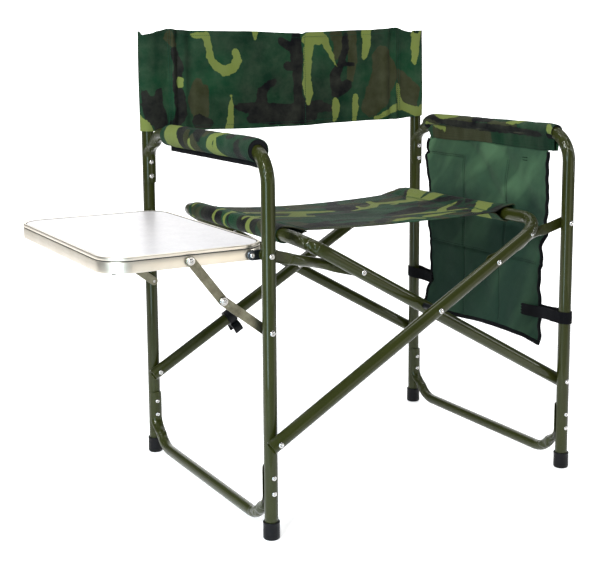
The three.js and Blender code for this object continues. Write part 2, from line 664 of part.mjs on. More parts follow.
// The organizer: a cloth sheet under the arm with two rows of open pockets on its outer face.
function organizerPanel() {
  const sheet = box(WIDTH - 2.2, WIDTH, POUCH.front, POUCH.rear, POUCH.bottom, POUCH.top);
  const rows = [
    { bottom: POUCH.seam + 6, top: POUCH.lip, depth: 9 },
    { bottom: POUCH.bottom + 2, top: POUCH.seam, depth: 20 },
  ];
  const shells = [];
  const hollows = [];
  const wall = 1.6;
  for (const row of rows) {
    const [first, last] = [POUCH_COLUMNS[0], POUCH_COLUMNS.at(-1)];
    shells.push(box(WIDTH - 0.5, WIDTH + row.depth, first, last, row.bottom, row.top));
    for (let i = 0; i + 1 < POUCH_COLUMNS.length; i++) {
      const [y0, y1] = [POUCH_COLUMNS[i] + wall, POUCH_COLUMNS[i + 1] - wall];
      hollows.push(box(WIDTH, WIDTH + row.depth - wall, y0, y1, row.bottom + wall, row.top + 1));
    }
  }
  return cut(join(sheet, ...shells), ...hollows);
}

// A webbing loop round a leg of the organizer's side frame, and its tail to the organizer.
function strap(legY, panelY, z) {
  const [inner, outer, half] = [TUBE_R + GAP + 0.2, TUBE_R + GAP + 2, 11];
  const loop = new THREE.Shape().absarc(WIDTH, legY, outer, 0, 2 * Math.PI, false);
  const toPanel = Math.sign(panelY - legY);
  const tail = box(
    WIDTH - 4.4,
    WIDTH - 2.6,
    Math.min(legY + toPanel * (inner - 1), panelY + toPanel * 18),
    Math.max(legY + toPanel * (inner - 1), panelY + toPanel * 18),
    z - half,
    z + half,
  );
  const bore = new THREE.CylinderGeometry(inner, inner, 4 * half, RING).rotateX(Math.PI / 2);
  return cut(join(slab(loop, z - half, z + half), tail), bore.translate(WIDTH, legY, z));
}

add("back_sling", backSling(), CAMO_CLOTH);
add("seat_sling", seatSling(), CAMO_CLOTH);
add("organizer", organizerPanel(), GREEN_CLOTH);
add("organizer_front_strap", strap(0, POUCH.front, 277), BLACK_PLASTIC);
add("organizer_rear_strap", strap(DEPTH, POUCH.rear, 283), BLACK_PLASTIC);

// ---------- origin: the middle of the base ----------
const bounds = new THREE.Box3().setFromObject(chair);
const middle = bounds.getCenter(new THREE.Vector3());
chair.position.set(-middle.x, -middle.y, -bounds.min.z);

export default chair;
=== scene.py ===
from math import atan2, copysign, cos, exp, hypot, pi, radians, sin, sqrt, tan

import bmesh
import bpy
import numpy as np
from mathutils import Matrix, Vector, noise


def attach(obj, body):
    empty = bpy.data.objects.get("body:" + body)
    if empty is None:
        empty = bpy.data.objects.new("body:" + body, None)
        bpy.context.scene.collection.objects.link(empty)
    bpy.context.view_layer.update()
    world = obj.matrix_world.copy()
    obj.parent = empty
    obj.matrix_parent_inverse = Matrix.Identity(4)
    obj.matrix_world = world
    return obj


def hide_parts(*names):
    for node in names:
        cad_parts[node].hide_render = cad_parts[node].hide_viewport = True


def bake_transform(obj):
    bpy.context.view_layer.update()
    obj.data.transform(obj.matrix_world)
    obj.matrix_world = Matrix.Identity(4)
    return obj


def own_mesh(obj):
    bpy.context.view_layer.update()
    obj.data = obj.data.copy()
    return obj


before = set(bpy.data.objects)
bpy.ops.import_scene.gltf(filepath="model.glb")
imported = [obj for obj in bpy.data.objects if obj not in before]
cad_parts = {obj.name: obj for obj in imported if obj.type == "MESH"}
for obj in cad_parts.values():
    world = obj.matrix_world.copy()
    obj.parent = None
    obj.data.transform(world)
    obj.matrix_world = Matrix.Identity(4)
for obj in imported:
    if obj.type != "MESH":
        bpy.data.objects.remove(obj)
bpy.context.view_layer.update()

# ---------- the chair's own millimetres ----------
# x = 0, y = 0 is the axis of the front leg on the table side, and the floor is z = 0. The
# dimensions are those of the CAD model.
SHIFT = Vector((183.0, 237.6, 0.0))  # the shared frame's origin in these millimetres
WIDTH, DEPTH = 600.0, 460.0
TUBE_R, BRACE_R, GAP = 11.0, 9.5, 0.4
POST_TOP = 781.0
ARM_Z, ARM_BEND, ARM_TIP = 608.0, 50.0, 515.0
BRACE_Z, BRACE_TIP, BRACE_BEND = 21.5, 118.0, 50.0
WALL, CRUSHED, FADE = 3.2, 48.0, 32.0  # a tube's pressed end: its thickness, length and run-out
ARM_WRAP, BRACE_WRAP = radians(72), radians(62)
ARM_REACH = 2 * TUBE_R + GAP
BRACE_REACH = TUBE_R + BRACE_R + GAP
SKIN = TUBE_R + GAP + WALL - 0.2  # from a leg's axis to the outside of an end pressed round it
PIVOT_Z, SLOPE = 162.0, radians(29.8)
CX, SX = cos(SLOPE), sin(SLOPE)
SEAT_REACH, SEAT_BEND, OFFSET, TAIL = 605.0, 54.0, 23.5, 13.0
CROSSING = WIDTH / 2 / CX
CROSS_Z = PIVOT_Z + CROSSING * SX
HINGE_Z, LINK_REACH, LINK_R, EYE_R, EYE_HALF = 450.0, 483.0, 8.5, 9.5, 1.0
LINK_X, LINK_Z = LINK_REACH * CX, PIVOT_Z + LINK_REACH * SX
STRUT_FOOT, KNEE, STRUT_HEAD = (0.0, 331.0), (-70.0, 385.0), (-122.0, 451.5)
BRACKET_X = -20.0
LAYER_1, LAYER_2 = (11.4, 13.4), (13.7, 15.7)
TABLE_X, TABLE_Y, CORNER = (-254.0, 13.0), (18.5, 441.5), 44.0
TABLE_LOW, TABLE_TOP = 442.0, 466.0
BOARD_LOW, BOARD_TOP = TABLE_TOP - 0.8 - 8, TABLE_TOP - 0.8
RAIL_X, RAIL_Z = SEAT_REACH * CX, PIVOT_Z + SEAT_REACH * SX
LEFT_RAIL = WIDTH - RAIL_X
LINK_FLAT, LINK_ROUND = 36.0, 62.0  # how far from its pin a link begins and ends to grow round
ARM_RIVETS, BRACE_RIVETS = (553.4, 527.6), (101.1, 75.5)  # their heights
CLIP_AT, CLIP_HALF = 172.0, 9.0  # the transport clip's place up the slope, and half its width
SIDES = 40  # points round a tube
ENDS = (("front", 0.0, 1), ("rear", DEPTH, -1))  # name, y of the legs, and the way inwards
X, Y, Z = Vector((1, 0, 0)), Vector((0, 1, 0)), Vector((0, 0, 1))


def metres(p):
    return ((p[0] - SHIFT.x) / 1000, (p[1] - SHIFT.y) / 1000, (p[2] - SHIFT.z) / 1000)


def metres_back(p):
    """From the scene's metres to the millimetres that Build works in."""
    return Vector(p) * 1000 + SHIFT


def clamp(x, low=0, high=1):
    return min(max(x, low), high)


def smooth(a, b, x):
    t = clamp((x - a) / (b - a), 0.0, 1.0)
    return t * t * (3 - 2 * t)


def hump(x, at, wide):
    return exp(-(((x - at) / wide) ** 2))


def table_of(pairs):
    """A smooth function through (x, value) pairs."""

    def at(x):
        if x <= pairs[0][0]:
            return pairs[0][1]
        for (x0, v0), (x1, v1) in zip(pairs, pairs[1:]):
            if x <= x1:
                return v0 + (v1 - v0) * smooth(x0, x1, x)
        return pairs[-1][1]

    return at


def wobble(x, y, z, seed=0.0):
    return noise.noise(Vector((x + seed * 17.3, y - seed * 5.1, z + seed * 9.7)))


# ---------- materials ----------
def srgb(r, g, b):
    def linear(c):
        c /= 255
        return c / 12.92 if c <= 0.04045 else ((c + 0.055) / 1.055) ** 2.4

    return (linear(r), linear(g), linear(b), 1.0)


def grey(level):
    return (level, level, level, 1.0)


class Shader:
    """A material's node tree, with one Principled shader."""

    def __init__(self, name):
        self.material = bpy.data.materials.new(name)
        self.material.use_nodes = True
        self.tree = self.material.node_tree

    def feed(self, node, key, value):
        if isinstance(value, bpy.types.NodeSocket):
            self.tree.links.new(value, node.inputs[key])
        else:
            node.inputs[key].default_value = value

    def set(self, **inputs):
        """Feeds the Principled shader and returns the material."""
        for key, value in inputs.items():
            self.feed(self.tree.nodes["Principled BSDF"], key.replace("_", " "), value)
        return self.material

    def node(self, kind, inputs, output=0, **settings):
        made = self.tree.nodes.new("ShaderNode" + kind)
        for key, value in settings.items():
            setattr(made, key, value)
        for key, value in inputs.items():
            self.feed(made, key, value)
        return made.outputs[output]

    def op(self, operation, a, b):
        return self.node("Math", {0: a, 1: b}, operation=operation)

    def coordinates(self, source="Object", scale=(1, 1, 1), location=(0, 0, 0)):
        out = self.node("TexCoord", {}, source)
        return self.node("Mapping", {"Vector": out, "Scale": scale, "Location": location})

    def attribute(self, name):
        return self.node("Attribute", {}, "Fac", attribute_name=name)

    def noise(self, vector, scale, detail=2.0, roughness=0.5, distortion=0.0):
        inputs = {"Vector": vector, "Scale": scale, "Detail": detail}
        inputs |= {"Roughness": roughness, "Distortion": distortion}
        return self.node("TexNoise", inputs, "Fac")

    def ramp(self, value, low, high, to_low=0.0, to_high=1.0):
        return self.node("MapRange", {"Value": value, 1: low, 2: high, 3: to_low, 4: to_high})

    def mix(self, factor, a, b):
        return self.node("Mix", {0: factor, 6: a, 7: b}, 2, data_type="RGBA")

    def over(self, tint, colour, value, low, high, least=0.0, most=1.0):
        """Colour over tint, from least to most as value runs from low to high."""
        return self.mix(self.ramp(value, low, high, least, most), tint, colour)

    def bump(self, height, strength, distance, below=None):
        inputs = {"Height": height, "Strength": strength, "Distance": distance}
        if below is not None:
            inputs["Normal"] = below
        return self.node("Bump", inputs)


def enamel():
    """Glossy olive paint on steel tube, crinkled a little where a tube is bent or pressed."""
    s = Shader("olive_enamel")
    where = s.coordinates()
    tint = s.over(srgb(34, 37, 9), srgb(47, 51, 16), s.noise(where, 1400, 1), 0.35, 0.65)
    tint = s.over(tint, srgb(28, 31, 8), s.noise(where, 14, 3), 0.3, 0.7, 0.0, 0.35)
    peel = s.bump(s.noise(where, 260, 2), 0.05, 0.0004)
    strength = s.op("MULTIPLY", s.attribute("bend"), 0.75)
    normal = s.bump(s.noise(where, 52, 3, 0.5, 1.2), strength, 0.007, peel)
    s.set(Coat_Weight=0.5, Coat_Roughness=0.04, Coat_IOR=1.4, Coat_Normal=normal)
    s.set(Metallic=0.12, Roughness=0.36, Specular_IOR_Level=0.08)
    return s.set(Base_Color=tint, Normal=normal)


def hard(name, light, dark, cloud, patches, marks, rough, bump, stretch=(1, 1, 1), **more):
    """Dark patches of a cloud over a light colour, and marks that show in gloss and in relief."""
    s = Shader(name)
    tint = s.over(light, dark, s.noise(s.coordinates(), *cloud), *patches)
    grain = s.noise(s.coordinates(scale=stretch), *marks)
    s.set(Roughness=s.ramp(grain, 0.3, 0.7, *rough), Normal=s.bump(grain, *bump), **more)
    return s.set(Base_Color=tint)


def plated(name, light, dark, roughness, wear):
    """Plated steel, with fine rolling marks and stains."""
    marks, rough = (420, 2, 0.5, 1.5), (roughness * 0.8, roughness * 1.3)
    stains = (60, 4, 0.6), (0.35, 0.7, 0.0, wear)
    return hard(name, light, dark, *stains, marks, rough, (0.12, 0.0003), Metallic=0.95)


def brushed():
    """Brushed aluminium: the marks run along the rim, which lies level."""
    colours = srgb(232, 224, 210), srgb(214, 204, 186)
    cloud, marks, bump = ((25, 2), (0.3, 0.7, 0.0, 0.5)), (3.0, 3, 0.6), (0.15, 0.0002)
    look = (*colours, *cloud, marks, (0.3, 0.46), bump, (6, 6, 900))
    return hard("brushed_aluminium", *look, Metallic=1.0)


def moulded(name, colour, roughness):
    """Moulded black plastic or rubber with a fine grain."""
    cloud = (40, 3), (0.3, 0.75, 0.0, 0.5)
    look = (*cloud, (900, 2), (roughness - 0.08, roughness + 0.08), (0.2, 0.0003))
    return hard(name, colour, srgb(16, 17, 19), *look, Specular_IOR_Level=0.14)


def laminate():
    s = Shader("white_laminate")
    where = s.coordinates()
    tint = s.over(srgb(206, 202, 202), srgb(198, 194, 195), s.noise(where, 30, 3), 0.3, 0.7)
    rough = s.ramp(s.noise(where, 180, 2), 0.3, 0.7, 0.3, 0.42)
    normal = s.bump(s.noise(where, 700, 2), 0.06, 0.0002)
    return s.set(Base_Color=tint, Roughness=rough, Normal=normal)


def weave(s, pitch, strength):
    """A plain weave from flat coordinates in metres: its height, and its bump."""
    inputs = {"Vector": s.coordinates("UV"), "Scale": 0.314 / pitch, "Distortion": 0.4, "Detail": 1.0}
    settings = {"wave_type": "BANDS", "output": "Fac"}
    warp, weft = (s.node("TexWave", inputs, bands_direction=way, **settings) for way in "XY")
    height = s.op("ADD", warp, weft)
    return height, s.bump(height, strength, pitch * 0.35)


def dull(s, tint, roughness, normal):
    s.set(Sheen_Weight=0.02, Sheen_Roughness=0.5, Specular_IOR_Level=0.04)
    return s.set(Base_Color=tint, Roughness=roughness, Normal=normal)


def slanting(s, flat, turn, stretch):
    """Flat coordinates turned by an angle, and drawn out along it."""
    u, v = (s.node("SeparateXYZ", {"Vector": flat}, k) for k in (0, 1))
    c, d = cos(turn), sin(turn)
    along = s.op("ADD", s.op("MULTIPLY", u, c), s.op("MULTIPLY", v, d))
    across = s.op("SUBTRACT", s.op("MULTIPLY", v, c), s.op("MULTIPLY", u, d))
    return s.node("CombineXYZ", {0: s.op("DIVIDE", along, stretch), 1: across})


def cloth(name, colour, dark, pitch=0.0011, roughness=0.82, painted_low_shade=0.0, painted_crease_highlight=None):
    """Woven cloth; painted shade darkens it where its flat second coordinate is low, and slanting
    creases get a painted highlight on their ridges and painted shade in their hollows.
    """
    s = Shader(name)
    flat = s.coordinates("UV")
    height, normal = weave(s, pitch, 0.35)
    tint = s.over(colour, dark, s.noise(flat, 9, 4, 0.6), 0.3, 0.7)
    # Painted highlight on the ridges of slanting creases and painted shade in their hollows; the same
    # creases also show in the bump.
    if painted_crease_highlight:
        creases = s.noise(slanting(s, flat, radians(128), 3.4), 17, 2, 0.45)
        tint = s.over(tint, painted_crease_highlight, creases, 0.5, 0.66, 0.0, 0.7)
        tint = s.over(tint, dark, creases, 0.34, 0.44, 0.45, 0.0)
        normal = s.bump(creases, 0.5, 0.02, normal)
    # Painted shade: towards a dark green where the flat second coordinate, the organizer's height, falls
    # below the seat.
    if painted_low_shade:
        level = s.node("SeparateXYZ", {"Vector": flat}, 1)
        level = s.op("ADD", level, s.ramp(s.noise(flat, 14, 3), 0.3, 0.7, -0.02, 0.02))
        tint = s.over(tint, srgb(16, 34, 30), level, 0.45, 0.5, painted_low_shade, 0.0)
    tint = s.over(tint, grey(0.0), height, 0.2, 1.8, 0.3, 0.0)
    return dull(s, tint, roughness, s.bump(s.noise(flat, 38, 3), 0.25, 0.004, normal))


PRINT_EDGE = 24.0  # mm from full colour to none in the printed shapes' attributes
CAMO_GREEN, CAMO_DEEP = srgb(20, 62, 38), srgb(12, 38, 25)
CAMO_LAYERS = (  # attribute, colour, then the free blots' place, scale, level and distortion
    ("brown", srgb(48, 50, 30), (3.1, 7.7, 0), 9.0, 0.565, 1.1),
    ("black", srgb(14, 14, 17), (8.4, 1.9, 0), 10.5, 0.575, 1.5),
    ("light", srgb(110, 122, 60), (5.3, 4.2, 0), 11.5, 0.64, 1.3),
)


def camouflage(name, offset, stretch=(1, 1, 1), blots=1.0, rare=0.0):
    """Printed woodland cloth: placed shapes and free blots over green; rare thins the light blots."""
    s = Shader(name)
    flat, moved = s.coordinates("UV"), s.coordinates("UV", stretch, offset)
    rough_edge = s.ramp(s.noise(flat, 75, 3, 0.6), 0.2, 0.8, -0.13, 0.13)
    height, normal = weave(s, 0.0011, 0.4)
    tint = s.over(CAMO_GREEN, CAMO_DEEP, s.noise(flat, 7, 3), 0.35, 0.65)
    for attribute, colour, move, scale, level, distortion in CAMO_LAYERS:
        if attribute == "light":
            level += rare
        field = s.node("Mapping", {"Vector": moved, "Location": move})
        field = s.noise(field, scale, 1.2, 0.45, distortion)
        free = s.ramp(field, level - 0.006, level + 0.006, 0.0, blots)
        placed = s.ramp(s.op("ADD", s.attribute(attribute), rough_edge), 0.48, 0.52)
        tint = s.mix(s.op("MAXIMUM", free, placed), tint, colour)
    tint = s.over(tint, grey(0.0), height, 0.2, 1.8, 0.3, 0.0)
    tint = s.over(tint, srgb(120, 124, 104), s.noise(flat, 24, 4, 0.65), 0.35, 0.75, 0.0, 0.12)
    return dull(s, tint, 0.7, s.bump(s.noise(flat, 30, 3), 0.25, 0.004, normal))


def printed(made, spots, colours):
    """Writes each colour's strokes, lists of (u, v, radius) in mm, as a soft distance for the shader."""
    spots = np.array(spots, dtype=float)
    for colour, strokes in colours.items():
        best = np.full(len(spots), -1e3)
        for stroke in strokes:
            for (u0, v0, r0), (u1, v1, r1) in zip(stroke, stroke[1:]):
                a, run = np.array([u0, v0]), np.array([u1 - u0, v1 - v0])
                t = np.clip(((spots - a) @ run) / max(run @ run, 1e-9), 0.0, 1.0)
                gap = np.linalg.norm(spots - a - t[:, None] * run, axis=1)
                best = np.maximum(best, r0 + (r1 - r0) * t - gap)
        values = np.clip(0.5 + best / PRINT_EDGE, 0.0, 1.0)
        made.data.attributes.new(colour, "FLOAT", "POINT").data.foreach_set("value", values)
    return made


ENAMEL = enamel()
RIVET = plated("bright_rivet", srgb(192, 190, 188), srgb(150, 148, 142), 0.2, 0.5)
STRIP = plated("plated_strip", srgb(128, 126, 108), srgb(84, 80, 66), 0.34, 0.8)
DARK_STRIP = plated("dark_strip", srgb(70, 76, 82), srgb(44, 46, 48), 0.3, 0.6)
ALUMINIUM, BOARD = brushed(), laminate()
RUBBER = moulded("black_cap", srgb(9, 9, 11), 0.45)
PLASTIC = moulded("black_clip", srgb(14, 14, 16), 0.4)
# Grey moulded seal, also used as the painted shade in the table rim's groove.
SEAL_AND_GROOVE_SHADE = moulded("grey_seal_and_groove_shade", srgb(62, 60, 58), 0.6)
FOAM = moulded("dark_foam", srgb(11, 11, 13), 0.9)
CAMO_BACK = camouflage("camo_back", (0.35, 0.1, 0), blots=0.0)
CAMO_SEAT = camouflage("camo_seat", (1.85, 0.62, 0), (0.8, 1.25, 1), rare=0.05)
CAMO_ARM = camouflage("camo_arm", (3.4, 2.2, 0), blots=0.0)
CAMO_FLAP = camouflage("camo_flap", (2.4, 5.1, 0), blots=0.0)
# The organizer's cloth: painted shade below the seat, and painted highlights and shade along slanting
# creases.
GREEN = cloth("green_cloth", srgb(64, 90, 66), srgb(48, 72, 56), painted_low_shade=0.72, painted_crease_highlight=srgb(88, 120, 88))
WEBBING = cloth("black_webbing", srgb(17, 17, 20), srgb(9, 9, 11), 0.0018, 0.9)
BINDING = cloth("black_binding", srgb(15, 16, 18), srgb(8, 9, 10), 0.0012, 0.85)
THREAD = cloth("thread", srgb(30, 76, 58), srgb(22, 60, 46), 0.0006, 0.8)
GREEN_THREAD = cloth("green_thread", srgb(14, 28, 20), srgb(10, 22, 16), 0.0006, 0.8)
SLOTS = {  # the record's material for the pieces of each look
    "olive_paint": [ENAMEL],
    "rivet_steel": [RIVET],
    "bare_steel": [STRIP, DARK_STRIP],
    "aluminium": [ALUMINIUM],
    "white_board": [BOARD],
    "black_plastic": [RUBBER, PLASTIC, SEAL_AND_GROOVE_SHADE],
    "camo_cloth": [CAMO_BACK, CAMO_SEAT, CAMO_ARM, CAMO_FLAP],
    "green_cloth": [GREEN],
    "black_webbing": [WEBBING, BINDING],
}


# ---------- mesh building ----------
def circle(r):
    return lambda a: (r * cos(a), r * sin(a))


def ring_at(point, along, side, section, sides):
    """Points round a route: section gives the place along side, and square to it, at an angle."""
    third = along.cross(side)
    pairs = [section(2 * pi * k / sides) for k in range(sides)]
    return [point + side * u + third * v for u, v in pairs]


def sideways(along, up):
    side = along.cross(up)
    return side.normalized() if side.length > 1e-3 else along.orthogonal().normalized()


class Build:
    """Points, faces, material slots and flat coordinates of one piece, in the chair's millimetres."""

    def __init__(self):
        self.points, self.faces, self.slots, self.flat, self.bend = [], [], [], [], []

    def add(self, points, faces, slot=0, flat=None, bend=None):
        base = len(self.points)
        self.points += [Vector(p) for p in points]
        self.faces += [tuple(base + i for i in face) for face in faces]
        self.slots += [slot] * len(faces)
        self.flat += flat if flat else [(p[0] / 1000, p[2] / 1000) for p in points]
        self.bend += bend if bend else [0.0] * len(points)
        return self

    def object(self, name, *materials, sharp=40):
        data = bpy.data.meshes.new(name)
        data.from_pydata([metres(p) for p in self.points], [], self.faces)
        data.update()
        data.polygons.foreach_set("material_index", self.slots)
        data.polygons.foreach_set("use_smooth", [True] * len(self.faces))
        layer = data.uv_layers.new(name="flat")
        corners = [self.flat[loop.vertex_index] for loop in data.loops]
        layer.data.foreach_set("uv", [c for uv in corners for c in uv])
        if any(self.bend):
            data.attributes.new("bend", "FLOAT", "POINT").data.foreach_set("value", self.bend)
        for material in materials:
            data.materials.append(material)
        data.set_sharp_from_angle(angle=radians(sharp))
        made = bpy.data.objects.new(name, data)
        bpy.context.collection.objects.link(made)
        return made

    def loft(self, rings, slot=0, caps=True, closed=False, bend=None, flat=None):
        """A skin through rings of one size, with caps, or closed into a loop."""
        n, count = len(rings[0]), len(rings)
        faces = []
        for i in range(count if closed else count - 1):
            j = (i + 1) % count
            for k in range(n):
                q = (k + 1) % n
                faces.append((i * n + k, i * n + q, j * n + q, j * n + k))
        if caps and not closed:
            faces.append(tuple(reversed(range(n))))
            faces.append(tuple((count - 1) * n + k for k in range(n)))
        points = [p for ring in rings for p in ring]
        spread = [b for b in bend for _ in range(n)] if bend else None
        return self.add(points, faces, slot, flat, spread)

    def lathe(self, profile, centre, axis, sides=24):
        """Turns (radius, height) pairs about an axis through centre."""
        side, centre = sideways(axis, Z), Vector(centre)
        rings = [ring_at(centre + axis * h, axis, side, circle(r), sides) for r, h in profile]
        return self.loft(rings)

    def plate(self, outline, point, levels, bevel=0.4):
        """A flat bar: outline is a closed list of 2-D points, point(a, b, level) places them."""
        low, high = levels
        middle = Vector((sum(p[0] for p in outline), sum(p[1] for p in outline))) / len(outline)
        rings = []
        for level, inset in ((low, bevel), (low + bevel, 0), (high - bevel, 0), (high, bevel)):
            ring = []
            for i, p in enumerate(outline):
                before, after = Vector(outline[i - 1]), Vector(outline[(i + 1) % len(outline)])
                run = (after - before).normalized()
                normal = Vector((run.y, -run.x))
                if normal.dot(Vector(p) - middle) < 0:
                    normal = -normal
                q = Vector(p) - normal * inset
                ring.append(point(q.x, q.y, level))
            rings.append(ring)
        return self.loft(rings)

    def sheet(self, grid, flat, thickness):
        """A closed shell of even thickness about a grid of points."""
        rows, cols = len(grid), len(grid[0])
        front, back = [], []
        for i in range(rows):
            for j in range(cols):
                du = grid[min(i + 1, rows - 1)][j] - grid[max(i - 1, 0)][j]
                dv = grid[i][min(j + 1, cols - 1)] - grid[i][max(j - 1, 0)]
                normal = du.cross(dv)
                normal = normal.normalized() if normal.length > 1e-9 else Z
                front.append(grid[i][j] + normal * (thickness / 2))
                back.append(grid[i][j] - normal * (thickness / 2))
        half = rows * cols
        starts = [i * cols + j for i in range(rows - 1) for j in range(cols - 1)]
        faces = [(a, a + cols, a + cols + 1, a + 1) for a in starts]
        backs = [tuple(half + k for k in reversed(face)) for face in faces]
        edge = list(range(cols))
        edge += [i * cols + cols - 1 for i in range(1, rows)]
        edge += [(rows - 1) * cols + j for j in range(cols - 2, -1, -1)]
        edge += [i * cols for i in range(rows - 2, 0, -1)]
        rim = [(a, b, b + half, a + half) for a, b in zip(edge, edge[1:] + edge[:1])]
        uv = [c for r in flat for c in r]
        return self.add(front + back, faces + rim + backs, 0, uv + uv)

    def cord(self, path, radius, flatten, slot=2):
        """A cord through points, flattened across x."""
        rings = []
        for i, p in enumerate(path):
            along = (path[min(i + 1, len(path) - 1)] - path[max(i - 1, 0)]).normalized()
            section = lambda t: (radius * cos(t), radius * flatten * sin(t))
            rings.append(ring_at(p, along, sideways(along, X), section, 10))
        return self.loft(rings, slot)

    def stitches(self, path, out, slot=1, pitch=4.2, length=2.9, radius=0.42):
        """A row of stitches along points, lying on the cloth; out points away from it."""
        lengths = [0.0]
        for a, b in zip(path, path[1:]):
            lengths.append(lengths[-1] + (b - a).length)

        def at(s):
            for i in range(len(path) - 1):
                if s <= lengths[i + 1] or i == len(path) - 2:
                    t = (s - lengths[i]) / max(lengths[i + 1] - lengths[i], 1e-6)
                    return path[i].lerp(path[i + 1], min(t, 1.0))

        s = pitch / 2
        while s + length < lengths[-1]:
            a, b = at(s), at(s + length)
            along = (b - a).normalized()
            side = along.cross(out.normalized()).normalized()
            up = side.cross(along)
            middle = (a + b) / 2 + up * radius * 0.4
            points = [a - up * 0.2, b - up * 0.2]
            for end in (-0.7, 0.7):
                for turn in range(4):
                    angle = pi / 4 + turn * pi / 2
                    offset = side * (radius * cos(angle)) + up * (radius * sin(angle))
                    points.append(middle + along * (length / 2) * end + offset)
            faces = [(0, 2 + (k + 1) % 4, 2 + k) for k in range(4)]
            faces += [(1, 6 + k, 6 + (k + 1) % 4) for k in range(4)]
            faces += [(2 + k, 2 + (k + 1) % 4, 6 + (k + 1) % 4, 6 + k) for k in range(4)]
            self.add(points, faces, slot)
            s += pitch
        return self


def piece(build, name, body, nodes, *materials, sharp=40):
    """One visible piece on its body, its faces outwards, in place of the CAD nodes named."""
    made = build.object(name, *materials, sharp=sharp)
    mesh = bmesh.new()
    mesh.from_mesh(made.data)
    bmesh.ops.recalc_face_normals(mesh, faces=mesh.faces)
    mesh.to_mesh(made.data)
    mesh.free()
    if body:
        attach(made, body)
    if nodes:
        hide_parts(nodes)
    next(slot for slot, looks in SLOTS.items() if materials[0] in looks)
    return made


# ---------- tubes ----------
def route(corners, radius, steps):
    """Points and directions down straight runs joined by bends, and how far each is into a bend."""
    corners = [Vector(c) for c in corners]
    runs = [(b - a).normalized() for a, b in zip(corners, corners[1:])]
    stations = [(corners[0], runs[0], 0.0)]
    for corner, before, after in zip(corners[1:-1], runs, runs[1:]):
        turn = before.angle(after)
        start = corner - before * (radius * tan(turn / 2))
        inward = (after - before * after.dot(before)).normalized()
        centre = start + inward * radius
        for k in range(steps + 1):
            a = turn * k / steps
            point = centre - inward * (radius * cos(a)) + before * (radius * sin(a))
            along = before * cos(a) + inward * sin(a)
            stations.append((point, along, sin(pi * k / steps) ** 0.7))
    return stations + [(corners[-1], runs[-1], 0.0)]


def lengths_of(stations):
    out = [0.0]
    for a, b in zip(stations, stations[1:]):
        out.append(out[-1] + (b[0] - a[0]).length)
    return out


def with_extra(stations, extra):
    """The stations as (length, point, along, bend), with more of them at the given lengths."""
    at = lengths_of(stations)
    out = [(s, *station) for s, station in zip(at, stations)]
    for s in extra:
        if any(abs(s - known) < 0.5 for known in at):
            continue
        i = next(i for i, known in enumerate(at) if known > s)
        t = (s - at[i - 1]) / (at[i] - at[i - 1])
        (p0, a0, b0), (p1, a1, b1) = stations[i - 1], stations[i]
        out.append((s, p0.lerp(p1, t), a0.lerp(a1, t).normalized(), b0 + (b1 - b0) * t))
    return sorted(out, key=lambda e: e[0])


def crescent(reach, wrap):
    """The section of a tube pressed flat round a leg that is reach away."""
    middle = TUBE_R + GAP + WALL / 2

    def section(a):
        radius, turn = middle + (WALL / 2) * sin(a), wrap * cos(a)
        return (radius * sin(turn), radius * cos(turn) - reach)

    return section


def between(a, b, weight):
    w = smooth(0, 1, weight)

    def section(angle):
        (p, q), (r, t) = a(angle), b(angle)
        return (p + (r - p) * w, q + (t - q) * w)

    return section


def pressed_tube(corners, bend_r, tube_r, side, reach, wrap, both):
    """A bent tube with its last end, or both, pressed round a leg."""
    plain = route(corners, bend_r, 22)
    total = lengths_of(plain)[-1]
    marks = [2, 5, 9] + [CRUSHED + FADE * t / 8 for t in range(-1, 9)]
    extra = (marks if both else [6.0]) + [total - s for s in marks]
    rings, bends = [], []
    for s, point, along, bend in with_extra(plain, extra):
        near = min(s, total - s) if both else total - s
        weight = clamp(1 - (near - CRUSHED) / FADE, 0.0, 1.0)
        narrow = wrap * (0.78 + 0.22 * smooth(0, 7, near))
        section = between(circle(tube_r), crescent(reach, narrow), weight)
        rings.append(ring_at(point, along, side, section, SIDES))
        bends.append(max(bend, 0.8 * sin(pi * weight)))
    return Build().loft(rings, bend=bends)


def rivet(build, centre, axis, radius=4.6, height=2.0, depth=0.0):
    """A domed tubular rivet's head, with its rolled rim and dimple, and its shank."""
    shares = [(0.95, 0.42), (0.84, 0.72), (0.68, 0.93), (0.5, 1.0), (0.36, 0.92), (0.27, 0.62)]
    shares += [(0.16, 0.28), (0.0, 0.25)]
    profile = [(0.0, -depth), (2.6, -depth), (2.6, -0.1), (radius, -0.1), (radius, height * 0.12)]
    profile += [(radius * r, height * h) for r, h in shares]
    return build.lathe(profile, centre, axis, 20)


